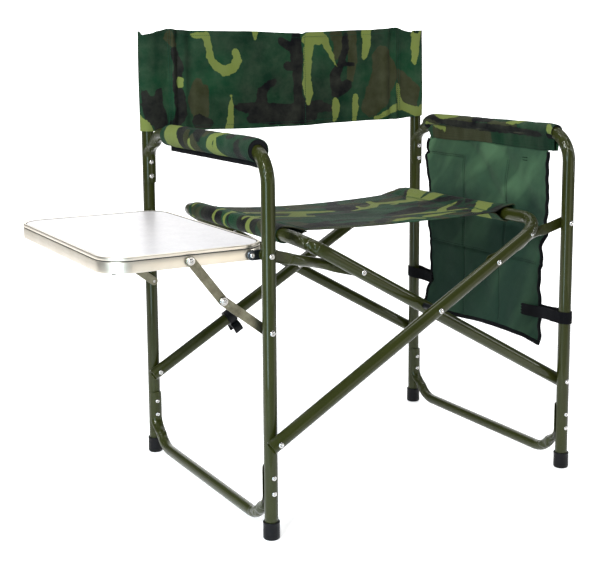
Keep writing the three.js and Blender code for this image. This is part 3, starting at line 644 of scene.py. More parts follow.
for name, x in (("left", 0.0), ("right", WIDTH)):
    body = name + "_frame"
    rear = DEPTH - ARM_REACH
    corners = [(x, 0, 3.4), (x, 0, ARM_Z), (x, rear, ARM_Z), (x, rear, ARM_TIP)]
    arm = pressed_tube(corners, ARM_BEND, TUBE_R, X, ARM_REACH, ARM_WRAP, False)
    piece(arm, name + "_arm_tube", body, name + "_leg_and_arm_tube", ENAMEL)

    profile = [(z, TUBE_R) for z in (3.4, 60, 200, 400, 600, 720, POST_TOP - 0.8)]
    profile += [(POST_TOP, TUBE_R - 0.6), (POST_TOP, TUBE_R - 1.2), (POST_TOP - 30, TUBE_R - 1.2)]
    rings = [ring_at(Vector((x, DEPTH, z)), Z, X, circle(r), SIDES) for z, r in profile]
    piece(Build().loft(rings), name + "_post", body, name + "_rear_post", ENAMEL)

    near, far = BRACE_REACH, DEPTH - BRACE_REACH
    corners = [(x, near, BRACE_TIP), (x, near, BRACE_Z), (x, far, BRACE_Z), (x, far, BRACE_TIP)]
    brace = pressed_tube(corners, BRACE_BEND, BRACE_R, -X, BRACE_REACH, BRACE_WRAP, True)
    piece(brace, name + "_brace", body, name + "_floor_brace", ENAMEL)

    heads = Build()
    for z in ARM_RIVETS:
        rivet(heads, (x, DEPTH - SKIN, z), -Y, 4.3, 1.9, 1.5)
        rivet(heads, (x, DEPTH + TUBE_R - 0.1, z), Y, 4.3, 1.7, 1.5)
    for _, y, way in ENDS:
        for z in BRACE_RIVETS:
            rivet(heads, (x, y + way * SKIN, z), Y * way, 4.0, 1.8, 1.5)
            rivet(heads, (x, y - way * (TUBE_R - 0.1), z), -Y * way, 4.0, 1.7, 1.5)
    piece(heads, name + "_frame_rivets", body, None, RIVET)

    for end, y, _ in ENDS:
        bore = TUBE_R + 0.25
        profile = [(0, 0), (10.4, 0), (11.8, 0.4), (13.0, 1.4), (13.5, 3.0), (13.45, 8), (13.3, 20)]
        profile += [(13.2, 25.6), (13.5, 26.2), (13.55, 27.6), (13.2, 28.6), (12.4, 29.0)]
        profile += [(11.7, 28.8), (bore, 28.0), (bore, 3.1), (0, 3.1)]
        cup = Build().lathe(profile, (x, y, 0), Z, 40)
        piece(cup, f"{name}_{end}_cap", body, f"{name}_{end}_foot", RUBBER)


# ---------- seat frames ----------
def seat_point(way, s, y):
    return Vector(((0 if way > 0 else WIDTH) + way * s * CX, y, PIVOT_Z + s * SX))


for name, way in (("a", 1), ("b", -1)):
    front, rear = -way * OFFSET, DEPTH - way * OFFSET
    places = ((-TAIL, front), (SEAT_REACH, front), (SEAT_REACH, rear), (-TAIL, rear))
    corners = [seat_point(way, s, y) for s, y in places]
    normal = Vector((-way * SX, 0, CX))
    stations = with_extra(route(corners, SEAT_BEND, 24), [1.0])
    mouth = ((TUBE_R - 1.1, 26), (TUBE_R - 1.1, 0.0), (TUBE_R - 0.5, 0.0), (TUBE_R, 0.5))
    steps = [(stations[0], r, d) for r, d in mouth]  # station, radius, and how far along
    steps += [(station, TUBE_R, 0.0) for station in stations[1:-1]]
    steps += [(stations[-1], r, -d) for r, d in reversed(mouth)]
    rings = [ring_at(at[1] + at[2] * d, at[2], normal, circle(r), SIDES) for at, r, d in steps]
    tube = Build().loft(rings, bend=[at[3] for at, _, _ in steps])
    piece(tube, "seat_tube_" + name, "seat_frame_" + name, "seat_frame_" + name, ENAMEL)

for end, y, _ in ENDS:
    half = OFFSET - TUBE_R - GAP
    profile = [(2.8, -half), (4.6, -half), (5.0, -half + 0.5), (5.0, half - 0.5), (4.6, half)]
    bush = Build().lathe(profile + [(2.8, half)], (WIDTH / 2, y, CROSS_Z), Y, 28)
    piece(bush, end + "_spacer", "seat_frame_a", end + "_crossing_spacer", PLASTIC)


# ---------- links ----------
def link(leg_x, way, leg_y):
    """A tube with flattened ends, from a leg to the upper part of a seat frame."""
    near_y = leg_y + sum(LAYER_1) / 2
    far_y = near_y + way * OFFSET
    start = Vector((leg_x, 0, HINGE_Z))
    along = Vector(((WIDTH - LINK_X if way > 0 else LINK_X) - leg_x, 0, LINK_Z - HINGE_Z))
    length = along.length
    along.normalize()

    def flat(half):
        soft = lambda v: copysign(abs(v) ** 0.45, v)
        return lambda a: (half * soft(cos(a)), EYE_HALF * soft(sin(a)))

    near = [(s, 0.0) for s in (-9.45, -9.2, -8.4, -7.0, -5.0, -2.5, 0.0, 18.0, 34.0)]
    near += [(LINK_FLAT + (LINK_ROUND - LINK_FLAT) * t / 8, t / 8) for t in range(1, 9)]
    middle = [(LINK_ROUND + (length - 2 * LINK_ROUND) * t / 8, 1.0) for t in range(1, 8)]
    rings, bends = [], []
    for s, fullness in near + middle + [(length - s, r) for s, r in reversed(near)]:
        half = sqrt(max(EYE_R**2 - max(0.0, -s, s - length) ** 2, 1.0))
        lean = smooth(LINK_ROUND, length - LINK_ROUND, s) * (far_y - near_y)
        y = near_y + lean if fullness == 1 else (near_y if s < length / 2 else far_y)
        point = start + along * s
        point.y = y + (LINK_R - EYE_HALF) * smooth(0, 1, fullness)
        section = between(flat(half), circle(LINK_R), fullness)
        rings.append(ring_at(point, along, Y.cross(along), section, 32))
        bends.append(0.7 * sin(pi * fullness))
    return Build().loft(rings, bend=bends)


for end, y, _ in ENDS:
    for name, x, way in (("left", 0.0, 1), ("right", WIDTH, -1)):
        bar = link(x, way, y)
        piece(bar, f"{name}_{end}_side_link", name + "_links", f"{name}_{end}_link", ENAMEL)


# ---------- table ----------
def table_outline(inset, steps=14):
    r = CORNER - inset
    x0, x1 = TABLE_X[0] + CORNER, TABLE_X[1] - CORNER
    y0, y1 = TABLE_Y[0] + CORNER, TABLE_Y[1] - CORNER
    points = []
    for (cx, cy), first in (((x1, y0), -90), ((x1, y1), 0), ((x0, y1), 90), ((x0, y0), 180)):
        for k in range(steps + 1):
            a = radians(first + 90 * k / steps)
            points.append((cx + r * cos(a), cy + r * sin(a)))
    return points


def round_table(build, profile, closed=True):
    """A skin right round the table through (inset, height) pairs."""
    rings = [[Vector((x, y, z)) for x, y in table_outline(inset)] for inset, z in profile]
    return build.loft(rings, closed=closed)


z0, z1, ledge = TABLE_LOW, TABLE_TOP, BOARD_LOW - GAP
profile = [(0.5, z0), (0.1, z0 + 0.3), (0, z0 + 1.0), (0, z0 + 16.4), (0.25, z0 + 16.8)]
profile += [(1.5, z0 + 17.1), (1.5, z0 + 18.5), (0.25, z0 + 18.9), (0, z0 + 19.3), (0, z1 - 1.6)]
profile += [(0.25, z1 - 0.8), (0.9, z1 - 0.15), (1.7, z1), (3.6, z1), (4.0, z1 - 0.25)]
profile += [(4.0, z1 - 0.75), (2.45, z1 - 0.8), (2.45, ledge), (12, ledge), (12, ledge - 2)]
profile += [(2.4, ledge - 2), (2.4, z0), (1.4, z0)]
piece(round_table(Build(), profile), "rim", "side_table", "table_rim", ALUMINIUM, sharp=50)

# The dark joint between rim and board, and a dark band in the bottom of the rim's groove that is painted
# shade.
joint = ((4.05, z1 - 0.79), (4.05, z1 - 0.4), (5.0, z1 - 0.45), (5.6, z1 - 0.79))
groove = ((1.45, z0 + 17.15), (0.9, z0 + 17.15), (0.9, z0 + 18.45), (1.45, z0 + 18.45))
seal_and_groove_shade = round_table(round_table(Build(), joint), groove)
piece(seal_and_groove_shade, "rim_seal_and_groove_shade", "side_table", None, SEAL_AND_GROOVE_SHADE, sharp=50)

profile = ((3.0, BOARD_LOW), (2.7, BOARD_LOW + 0.3), (2.7, BOARD_TOP - 0.3), (3.0, BOARD_TOP))
board = round_table(Build(), profile, closed=False)
piece(board, "board", "side_table", "table_board", BOARD, sharp=30)


def bar_outline(a, b, half, steps=12):
    a, b = Vector(a), Vector(b)
    along = atan2(b.y - a.y, b.x - a.x)
    points = []
    for centre, first in ((a, along + pi / 2), (b, along - pi / 2)):
        for k in range(steps + 1):
            t = first + pi * k / steps
            points.append((centre.x + half * cos(t), centre.y + half * sin(t)))
    return points


for end, leg_y, way in ENDS:
    on_bar = lambda px, pz, level: Vector((px, leg_y + way * level, pz))

    strap = bar_outline((0, HINGE_Z), (BRACKET_X, HINGE_Z), 8)
    strap = Build().plate(strap, on_bar, LAYER_2)
    piece(strap, end + "_hinge_strap", "side_table", f"table_{end}_bracket", DARK_STRIP)

    upper = Build().plate(bar_outline(STRUT_HEAD, KNEE, 7.5), on_bar, LAYER_2)
    piece(upper, end + "_strut_top", "strut_upper", end + "_upper_strut", STRIP)

    lower = Build().plate(bar_outline(KNEE, STRUT_FOOT, 7.5), on_bar, LAYER_1)
    toward = (Vector(STRUT_FOOT) - Vector(KNEE)).normalized()
    stud = Vector(KNEE) + toward * 11.5 + Vector((toward.y, -toward.x)) * 1.0
    rivet(lower, on_bar(*stud, LAYER_1[0]), -Y * way, 2.2, 0.9, 2.2)
    piece(lower, end + "_strut_bottom", "strut_lower", end + "_lower_strut", STRIP)

    top = ledge - 2 - 0.1
    profile = [(0, -18.0), (3.6, -18.0), (4.8, -17.2), (5.4, -15.6), (6.4, 0), (0, 0)]
    bumper = Build().lathe(profile, on_bar(TABLE_X[0] + 26, top, 50), Z, 28)
    piece(bumper, end + "_bumper", "side_table", f"table_{end}_bumper", RUBBER)


# ---------- pivot pins ----------
def pin(name, body, node, x, z, seat, end, head=4.6, collar=None, washer=False):
    """A rivet along Y with its head on the surface at y = seat."""
    way = copysign(1, seat - end)
    build = rivet(Build(), (x, seat, z), Y * way, head, 2.0, abs(end - seat))
    if washer:
        profile = [(2.5, -0.1), (6.3, -0.1), (6.5, 0.1), (6.5, 0.5), (6.2, 0.8), (2.5, 0.8)]
        build.lathe(profile, (x, seat, z), Y * way, 28)
    if collar:
        low, high, radius = collar
        profile = [(2.5, low), (radius, low), (radius, high), (2.5, high)]
        build.lathe(profile, (x, seat, z), -Y * way, 20)
    piece(build, name, body, node, RIVET)


FACE, BACK = -TUBE_R - 0.1, TUBE_R + 0.3
FRAME_A, FRAME_B, RIGHT = "seat_frame_a", "seat_frame_b", "right_frame"
for end, y, _ in ENDS:
    a, b = y - OFFSET, y + OFFSET
    for name, body, node, x, z, seat, tip in (
        ("{}_foot_pin_a", FRAME_A, "seat_frame_a_{}_pin", 0, PIVOT_Z, a + FACE, y + BACK),
        ("{}_foot_pin_b", RIGHT, "seat_frame_b_{}_pin", WIDTH, PIVOT_Z, y + FACE, b + BACK),
        ("{}_cross_pin", FRAME_A, "{}_crossing_pin", WIDTH / 2, CROSS_Z, a + FACE, b + BACK),
        ("right_{}_upper_pin", RIGHT, "right_{}_hinge_pin", WIDTH, HINGE_Z, y + FACE, y + 14.4),
        ("left_{}_slope_pin", FRAME_B, "left_{}_link_pin", WIDTH - LINK_X, LINK_Z, b + FACE, b + 13.6),
        ("right_{}_slope_pin", FRAME_A, "right_{}_link_pin", LINK_X, LINK_Z, a + FACE, a + 13.6),
    ):
        pin(name.format(end), body, node.format(end), x, z, seat, tip)
for end, seat, tip in (("front", FACE, LAYER_2[1] + 0.6), ("rear", DEPTH + 13.7, DEPTH - 16.3)):
    pin(f"left_{end}_upper_pin", "left_frame", f"left_{end}_hinge_pin", 0, HINGE_Z, seat, tip)
COLLAR = (2.3, TABLE_Y[0] - LAYER_2[0] - 0.1, 4.4)
for end, leg_y, way in ENDS:
    low, high, seat, tip, knee, knee_tip = (
        leg_y + way * d for d in (-11.1, 13.8, LAYER_2[0] - 0.1, TABLE_Y[0] + 3.4, 11.2, 13.5)
    )
    node = end + "_strut_{}_pin"
    pin(end + "_strut_low_pin", "left_frame", node.format("foot"), *STRUT_FOOT, low, high)
    pin(end + "_knee", "strut_lower", node.format("knee"), *KNEE, knee, knee_tip, 4.2, None, True)
    head = (*STRUT_HEAD, seat, tip, 4.3, COLLAR, True)
    pin(end + "_strut_top_pin", "side_table", node.format("head"), *head)
    strap = (BRACKET_X, HINGE_Z, seat, tip, 4.3, COLLAR)
    pin(end + "_strap_pin", "side_table", f"table_{end}_bracket_pin", *strap)

# A small rivet where seat frame A begins to bend at the front.
spot = seat_point(1, SEAT_REACH - SEAT_BEND + 14, -OFFSET) - Y * (TUBE_R - 0.3)
piece(rivet(Build(), spot, -Y, 2.6, 1.2, 1.5), "bend_rivet", "seat_frame_a", None, RIVET)


# ---------- transport clip ----------
def transport_clip():
    """A ring round the tube, and an open jaw below it."""
    build = Build()
    half = CLIP_HALF
    centre = seat_point(1, CLIP_AT, DEPTH - OFFSET)
    along, up = Vector((CX, 0, SX)), Vector((-SX, 0, CX))

    def band(low, angles, inner, outer, closed):
        section = [(-half, inner + 0.5), (-half + 0.6, outer), (half - 0.6, outer)]
        section += [(half, inner + 0.5), (half, inner), (-half, inner)]
        rings = []
        for a in angles:
            spots = [(level, r * cos(a), low + r * sin(a)) for level, r in section]
            rings.append([centre + along * level + Y * u + up * v for level, u, v in spots])
        build.loft(rings, closed=closed)

    band(0, [2 * pi * k / 48 for k in range(48)], 11.15, 14.6, True)
    band(-25.2, [radians(-30 + 240 * k / 30) for k in range(31)], 11.3, 14.2, False)
    return build


piece(transport_clip(), "snap_clip", "seat_frame_a", "transport_clip", PLASTIC)


# ---------- back sling ----------
# The print on the back: x along the sling and depth below its top edge.
BACK_PRINT = {
    "light": [
        [(91, 8, 3), (118, 9, 8), (126, 31, 7), (129, 50, 7), (140, 64, 8), (160, 75, 10)]
        + [(178, 68, 10), (188, 52, 9), (183, 40, 7)],
        [(226, -2, 8), (226, 14, 3)],
        [(337, 10, 8), (350, 12, 13), (366, 12, 14), (380, 14, 9)],
        [(346, 14, 12), (343, 45, 9), (341, 75, 8), (340, 97, 10), (344, 118, 10), (343, 138, 5)],
        [(378, 14, 9), (392, 38, 6), (403, 60, 3), (409, 70, 1)],
        [(477, 2, 11), (477, 30, 9), (471, 54, 6)],
        [(593, 4, 12), (590, 33, 9), (588, 60, 5)],
        [(173, 122, 2), (172, 142, 6), (170, 161, 7), (166, 184, 9)],
        [(405, 140, 8), (407, 154, 9), (404, 176, 5)],
        [(451, 132, 6), (452, 152, 8), (450, 178, 5)],
        [(551, 116, 6), (553, 139, 6), (560, 155, 8), (580, 157, 8), (606, 163, 12)],
        [(560, 156, 8), (531, 168, 6), (500, 180, 5)],
        [(-12, 160, 9), (-2, 182, 12)],
        [(64, 92, 6), (66, 102, 5)],
    ],
    "black": [
        [(316, 8, 11), (318, 46, 15), (319, 85, 10), (321, 122, 10), (326, 140, 14)],
        [(283, 16, 8), (300, 26, 8), (312, 34, 10)],
        [(296, 64, 9), (312, 66, 8)],
        [(178, 142, 4), (204, 145, 10), (243, 150, 16), (287, 158, 20), (330, 152, 18)]
        + [(370, 146, 12), (394, 152, 7)],
        [(215, 166, 9), (260, 166, 12), (350, 164, 12)],
        [(239, 134, 13), (240, 115, 10), (254, 102, 8), (268, 93, 5)],
        [(54, 40, 8), (62, 70, 10), (57, 96, 9), (62, 123, 12), (66, 150, 12), (56, 172, 10)],
        [(20, 108, 8), (15, 138, 16), (24, 168, 16)],
        [(-8, 104, 5), (0, 130, 13), (4, 150, 13)],
        [(104, 168, 14), (122, 172, 10)],
        [(430, 12, 7), (428, 40, 8), (418, 64, 8), (404, 90, 13), (410, 118, 15), (432, 108, 11)],
        [(428, 66, 5), (447, 68, 4)],
    ],
    "brown": [
        [(102, 98, 10), (95, 128, 16), (108, 152, 17), (114, 112, 12)],
        [(408, 8, 14), (418, 30, 13), (406, 50, 8)],
        [(444, 10, 11), (444, 60, 11), (440, 95, 8)],
        [(512, 56, 22), (519, 92, 29), (504, 132, 30), (490, 152, 24)],
        [(560, 96, 14), (578, 118, 22), (572, 140, 22)],
        [(44, 14, 10), (52, 26, 8)],
    ],
}

BACK_TOP = table_of(
    [(-15, 791), (-9, 782), (12, 785), (30, 791), (44, 794.5), (58, 792.5), (90, 790.5)]
    + [(200, 789.5), (322, 785.5), (330, 784), (338, 787.5), (480, 791.5), (525, 794), (544, 796)]
    + [(575, 788), (596, 783), (604, 790)]
)
BACK_LOW = table_of(
    [(-15, 609.5), (48, 608), (119, 606.5), (221, 604.5), (330, 605), (403, 607.5), (494, 609.5)]
    + [(546, 610), (604, 615)]
)
SEAM_L, SEAM_R, PANEL_Y = 48.0, 548.0, DEPTH - 5.0
BACK_GROOVE, BACK_SEAM = 330, 334  # x of the crease in the back's middle, and of the seam in it
BACK_FLAT = 760  # the flat coordinate of the back's right end
SLEEVE_R = 13.4  # of the cloth round a post or a seat rail
SIXTHS = [k / 6 for k in range(7)]


def sleeve_path(centre_x, seam_x, way, steps=26):
    """From the seam behind the panel, round the post, to the seam in front, as (x, y)."""
    r, reach = SLEEVE_R, abs(seam_x - centre_x)
    first, last = PANEL_Y + 1.6, DEPTH - r
    out = [(reach + (3 - reach) * t, first + (DEPTH + r - first) * smooth(0, 1, t)) for t in SIXTHS]
    turns = [pi / 2 + pi * k / steps for k in range(1, steps)]
    out += [(r * cos(a), DEPTH + r * sin(a)) for a in turns]
    for t in SIXTHS:
        valley = 3.2 * sin(pi * t) ** 2
        out.append((3 + (reach - 3) * t, last + (PANEL_Y - last) * smooth(0, 1, t) + valley))
    return [(centre_x + way * x, y) for x, y in out]


def running(path, start=0.0):
    out = [start]
    for (x0, y0), (x1, y1) in zip(path, path[1:]):
        out.append(out[-1] + hypot(x1 - x0, y1 - y0))
    return out


def gathers(inwards):
    """The upright folds beside a seam of the back, by the distance from the seam towards the middle."""
    folds = ((-5, 3.0, 3.2), (4, 4.0, -4.2), (14, 5.0, 4.0), (26, 7.0, -3.6), (42, 9.0, 2.2))
    return sum(depth * hump(inwards, at, wide) for at, wide, depth in folds)


def back_sheet(path, along, thickness, rows=44):
    """Part of the back's cloth along a path, with how far along the cloth each point is."""
    grid, flat = [], []
    for v in (i / rows for i in range(rows + 1)):
        edge = smooth(0.75, 1.0, v) * 1.6 + smooth(0.25, 0.0, v) * 0.8
        row = []
        for x, y in path:
            z = BACK_LOW(x) + (BACK_TOP(x) - BACK_LOW(x)) * v
            near_seam = hump(x, SEAM_L, 26) + hump(x, SEAM_R, 26)
            ripple = 2.6 * wobble(x / 60, z / 130, 0.4) + 0.8 * wobble(x / 22, z / 60, 2.4)
            ripple += (edge + 0.9) * near_seam * 2.4 * wobble(x / 13, z / 30, 5.2)
            ripple += gathers(x - SEAM_L) + 0.7 * gathers(SEAM_R - x)
            ripple += 1.6 * hump(x, BACK_GROOVE, 3.2) + edge * 1.4 * sin(x / 31)
            row.append(Vector((x, y + ripple, z)))
        grid.append(row)
        flat.append([(s / 1000, p.z / 1000) for s, p in zip(along, row)])
    return Build().sheet(grid, flat, thickness), grid


def back_piece(build, name, body, node):
    made = piece(build, name, body, node, CAMO_BACK, THREAD)
    return printed(made, [(p.x, BACK_TOP(p.x) - p.z) for p in build.points], BACK_PRINT)


def sling_end(side, centre_x, seam_x, way):
    path = sleeve_path(centre_x, seam_x, way)
    along = running(path)
    if side == "right":
        along = [BACK_FLAT - s for s in along]
    build, grid = back_sheet(path, along, 1.1)
    for shift in (-1.5, -6.5):
        build.stitches([row[-1] + Vector((way * shift, -1.3, 0)) for row in grid], -Y)
    return back_piece(build, "back_sleeve_" + side, side + "_frame", None), along[-1]


def back_panel(start, steps=160):
    path = []
    for share in (k / steps for k in range(steps + 1)):
        path.append((SEAM_L + (SEAM_R - SEAM_L) * share, PANEL_Y + 9.0 * sin(pi * share)))
    build, grid = back_sheet(path, running(path, start), 1.4)
    for row, height in ((grid[-1], -9), (grid[0], 9)):
        build.stitches([p + Vector((0, -0.9, height)) for p in row], -Y)
    middle = min(range(steps + 1), key=lambda k: abs(path[k][0] - BACK_SEAM))
    build.stitches([row[middle] - Y * 1.2 for row in grid], -Y)
    return back_piece(build, "back_panel", "left_frame", "back_sling")


left_end, left_run = sling_end("left", 0.0, SEAM_L, 1)
right_end, _ = sling_end("right", WIDTH, SEAM_R, -1)
panel = back_panel(left_run)


# ---------- seat sling ----------
# The print on the seat: x, and y towards the rear.
SEAT_PRINT = {
    "light": [
        [(96, 306, 5), (134, 307, 8), (160, 309, 9), (190, 306, 9), (221, 301, 10), (258, 297, 7)]
        + [(296, 294, 4)],
        [(104, 262, 5), (135, 263, 8), (164, 257, 9), (190, 250, 9), (222, 246, 6)],
        [(192, 256, 12), (208, 271, 16), (222, 290, 12)],
        [(225, 402, 10), (264, 400, 9), (288, 396, 4)],
        [(328, 276, 4), (355, 284, 7), (382, 291, 8), (401, 310, 9), (403, 336, 6)],
        [(360, 314, 3), (357, 290, 6)],
        [(403, 318, 8), (425, 306, 9), (460, 292, 12), (485, 286, 8)],
        [(480, 300, 13), (504, 322, 20), (528, 345, 20)],
        [(340, 156, 5), (373, 156, 8), (403, 151, 8), (438, 138, 7), (476, 128, 4)],
        [(293, 88, 6), (312, 96, 10), (332, 100, 8), (350, 84, 5)],
        [(367, 98, 9), (392, 106, 13), (404, 108, 9), (434, 111, 5)],
        [(470, 92, 10), (500, 112, 15), (528, 136, 17), (548, 150, 17)],
        [(62, 318, 4), (78, 312, 6), (86, 326, 5)],
        [(62, 276, 4), (78, 270, 6), (85, 282, 5)],
        [(66, 410, 4), (88, 406, 4)],
    ],
    "black": [
        [(230, 262, 8), (262, 268, 10), (300, 262, 9), (330, 244, 8)],
        [(420, 262, 9), (456, 250, 12), (500, 236, 13), (520, 206, 12)],
        [(360, 128, 7), (330, 120, 10), (300, 128, 9)],
        [(486, 330, 8), (510, 352, 10)],
        [(380, 200, 8), (420, 196, 12), (450, 184, 10)],
    ],
}

SEAT_FRONT = table_of([(60, 90), (110, 74), (300, 70), (480, 66), (525, 74), (545, 78)])
SEAT_REAR = table_of([(60, 421), (96, 420), (124, 406), (300, 398), (480, 388), (545, 386)])
SEAT_SEAM = 36.0  # from a rail's axis to the seam of the cloth's sleeve
LEFT_COVER_R, COVER_R, COVER_TAIL = 18.6, 14.4, 5.0  # the arm covers, and half the right tail
REAR_FOAM_R = 11.2  # the inside of the foam at its rear end


def across_seat(x):
    return (x - LEFT_RAIL) / (RAIL_X - LEFT_RAIL)


def seat_height(x, y):
    """The sag between the rails, and how the front edge is drawn tight."""
    arch = sin(pi * clamp(across_seat(x)))
    return RAIL_Z + 9.5 - 14.0 * arch**0.7 + 8.5 * hump((y - 70) / 330, 0, 0.3) * arch


def seat_path():
    """(x, part, value) round the left rail, across, and round the right rail."""

    def around(rail, first):
        turns = [first - pi * k / 26 for k in range(1, 26)]
        return [(rail + SLEEVE_R * cos(a), "round", RAIL_Z + SLEEVE_R * sin(a)) for a in turns]

    left, right, seam = LEFT_RAIL, RAIL_X, SEAT_SEAM
    out = [(left + seam + (2 - seam) * t, "under", t) for t in SIXTHS] + around(left, -pi / 2)
    out += [(left + 2 + (seam - 2) * t, "over", t) for t in SIXTHS]
    run = right - left - 2 * seam
    out += [(left + seam + run * k / 100, "panel", 0) for k in range(1, 100)]
    out += [(right - 2 - (seam - 2) * (1 - t), "over", 1 - t) for t in SIXTHS]
    out += around(right, pi / 2)
    return out + [(right - 2 - (seam - 2) * t, "under", 1 - t) for t in SIXTHS]


def seat_y(x, v):
    return SEAT_FRONT(x) + (SEAT_REAR(x) - SEAT_FRONT(x)) * v


def seat_point_at(x, part, t, v):
    """The cloth's point at a step of the path, v from the front edge to the rear edge."""
    y = seat_y(x, v)
    z = level = seat_height(x, y)
    if part == "round":
        z = t
    elif part == "over":
        puff = smooth(0.72, 1.0, v) if x > 300 else 0.0
        rise = (1 - puff) * smooth(1, 0, t) + puff * (1 - t**3)
        z = level + (RAIL_Z + SLEEVE_R - level) * rise
    elif part == "under":
        z = (level - 2.2) + (RAIL_Z - SLEEVE_R - level + 2.2) * smooth(0, 1, t)
    if part in ("over", "panel"):
        calm = sin(pi * clamp(across_seat(x), 0.02, 0.98)) ** 0.5
        z += calm * (2.0 * wobble(x / 240, y / 42, 0.3) + 1.1 * wobble(x / 120, y / 20, 4.0))
        near = hump(x, LEFT_RAIL + SEAT_SEAM, 20) + hump(x, RAIL_X - SEAT_SEAM, 20)
        z += near * 1.4 * wobble(x / 12, y / 16, 7.0)
    loose = smooth(0.16, 0.0, v) * hump(x, RAIL_X + 9, 9) * (z > RAIL_Z)
    return Vector((x + 7 * loose, y - 4 * loose, z + 5 * loose))


def seat_sling(rows=60):
    path = seat_path()
    grid, flat = [], []
    for v in (i / rows for i in range(rows + 1)):
        row = [seat_point_at(*step, v) for step in path]
        grid.append(row)
        runs = running([(p.x, p.z) for p in row])
        flat.append([(run / 1000, seat_y(step[0], v) / 1000) for run, step in zip(runs, path)])
    build = Build().sheet(grid, flat, 1.3)
    panel_steps = [k for k, step in enumerate(path) if step[1] == "panel"]
    first, last = panel_steps[0], panel_steps[-1]
    for column in (first - 1, first, last, last + 1):
        build.stitches([row[column] + Z for row in grid], Z)
    for row, shift in ((grid[0], 8), (grid[-1], -8)):
        build.stitches([p + Vector((0, shift, 1.0)) for p in row[first : last + 1]], Z)
    made = piece(build, "seat_cloth", None, "seat_sling", CAMO_SEAT, THREAD)
    printed(made, [(p.x, p.y) for p in build.points], SEAT_PRINT)
    return made, flat[rows // 2][-1][0]


seat, seat_run = seat_sling()


# ---------- arm pads ----------
def cover_station(x, s):
    """Point and direction of a cover, s mm behind the start of the arm's straight run."""
    straight, turned = DEPTH - ARM_REACH - 2 * ARM_BEND, ARM_Z - ARM_BEND
    if s < 0:  # the front end stays straight where the tube begins to bend down
        return Vector((x, ARM_BEND + s, ARM_Z - 0.06 * abs(s))), Y
    if s <= straight:
        return Vector((x, ARM_BEND + s, ARM_Z)), Y
    a = (s - straight) / ARM_BEND
    point = Vector((x, ARM_BEND + straight + ARM_BEND * sin(a), turned + ARM_BEND * cos(a)))
    return point, Vector((0, cos(a), -sin(a)))


def arm_sleeve(x, first, last, section, seed, sides=56, steps=90):
    """A padded cover round the arm: section(angle, share) is its radius in mm."""
    build, rings, flat = Build(), [], []
    lip = [(-1.6, 6.0), (-1.4, 0.4), (-0.7, 0.0)]  # how far in from the cover, and how far along
    samples = [(first + d, drop) for drop, d in lip]
    samples += [(first + 0.6 + (last - first - 1.2) * (k / steps), None) for k in range(steps + 1)]
    samples += [(last - d, drop) for drop, d in reversed(lip)]
    for s, drop in samples:
        share = clamp((s - first) / (last - first))
        ends = smooth(0, 0.03, share) * smooth(1, 0.97, share)

        def skin(a):
            r = section(a, share)
            if drop is None:
                lump = 0.9 * wobble(cos(a) * 1.1, sin(a) * 1.1, s / 34, seed)
                lump += 0.5 * wobble(cos(a) * 2.2, sin(a) * 2.2, s / 13, seed + 3)
                r += lump * (0.4 + 0.6 * ends) - 0.8 * (1 - ends)
            else:
                r += drop
            return (r * cos(a), r * sin(a))

        rings.append(ring_at(*cover_station(x, s), X, skin, sides))
        for k in range(sides):
            turn = 2 * pi * k / sides - 1.5 * pi
            flat.append((s / 1000, (turn + 2 * pi if turn < -pi else turn) * 0.019))
    build.loft(rings, caps=False, flat=flat)
    for index, away in ((3, 5.5), (len(rings) - 4, -5.5)):
        centre, along = cover_station(x, samples[index][0])
        centre += along * away
        loop = [centre + (p + along * away - centre) * 1.022 for p in rings[index]]
        for a, b in zip(loop[::2], loop[1::2]):
            build.stitches([a, b], a - centre, 1, 0.1, (b - a).length * 0.8, 0.35)
    return build, rings


def foam_ring(build, x, s, r0, r1):
    """The end face of the foam under a cover."""
    point, along = cover_station(x, s)
    way = 1 if s < 0 else -1
    middle = ((r0 + r1) / 2, 0.5)
    profile = [(r0, 14.0), (r0, 2.2), (r0 + 0.6, 1.0), middle, (r1 - 0.6, 1.0), (r1, 2.2), (r1, 14.0)]
    rings = []
    for r, d in profile:
        ring = ring_at(point + along * (d * way), along, X, circle(r), SIDES)
        rings.append([p + along * (0.5 * wobble(k / 3.0, r, s)) for k, p in enumerate(ring)])
    build.loft(rings, 2, closed=True)


def arm_pad(side, x, first, last, section, seed, foam, look, prints):
    """A pad on the arm; foam is the radius of its inside in front, and of its outside."""
    build, rings = arm_sleeve(x, first, last, section, seed)
    foam_ring(build, x, first, foam[0], foam[1])
    foam_ring(build, x, last, REAR_FOAM_R, foam[1])
    if side == "right":
        build.stitches([ring[42] + Vector((-1.2, 0, 4)) for ring in rings[5:-5]], -X)
    pad = piece(build, side + "_pad", side + "_frame", side + "_arm_pad", look, THREAD, FOAM)
    printed(pad, [(1000 * u, 1000 * v) for u, v in build.flat], prints)


def left_closure(first, last, steps=59):
    """The strip of hook tape below the left pad."""
    grid = []
    for k in range(steps + 1):
        point, along = cover_station(0.0, first + 1 + (last - 12 - first) * k / steps)
        down = Vector((0, along.z, -along.y))
        wave = 0.6 * sin(k * 0.9) + 0.5 * wobble(k / 3, 1, 2)
        point += down * (19.6 + wave * 0.3) + X * (wave * 0.6 - 1.0)
        grid.append([point + down * h for h in (-3.6, 0.0, 3.6, 7.0)])
    strip = Build().sheet(grid, [[(p.y / 1000, p.z / 1000) for p in row] for row in grid], 1.8)
    return piece(strip, "left_pad_closure", "left_frame", None, BINDING)


def right_section(a, share):
    """Round over the arm, drawn down to a flat tail below it."""
    down = sin(a)
    if down < 0:
        return COVER_R
    tail = 33.5 + 1.6 * sin(share * 9) + 1.2 * wobble(share * 7, 3, 1)
    width = COVER_R + (COVER_TAIL - COVER_R) * smooth(0, 34, down * 30)
    return min(width / max(abs(cos(a)), 1e-3), tail / max(down, 0.2))


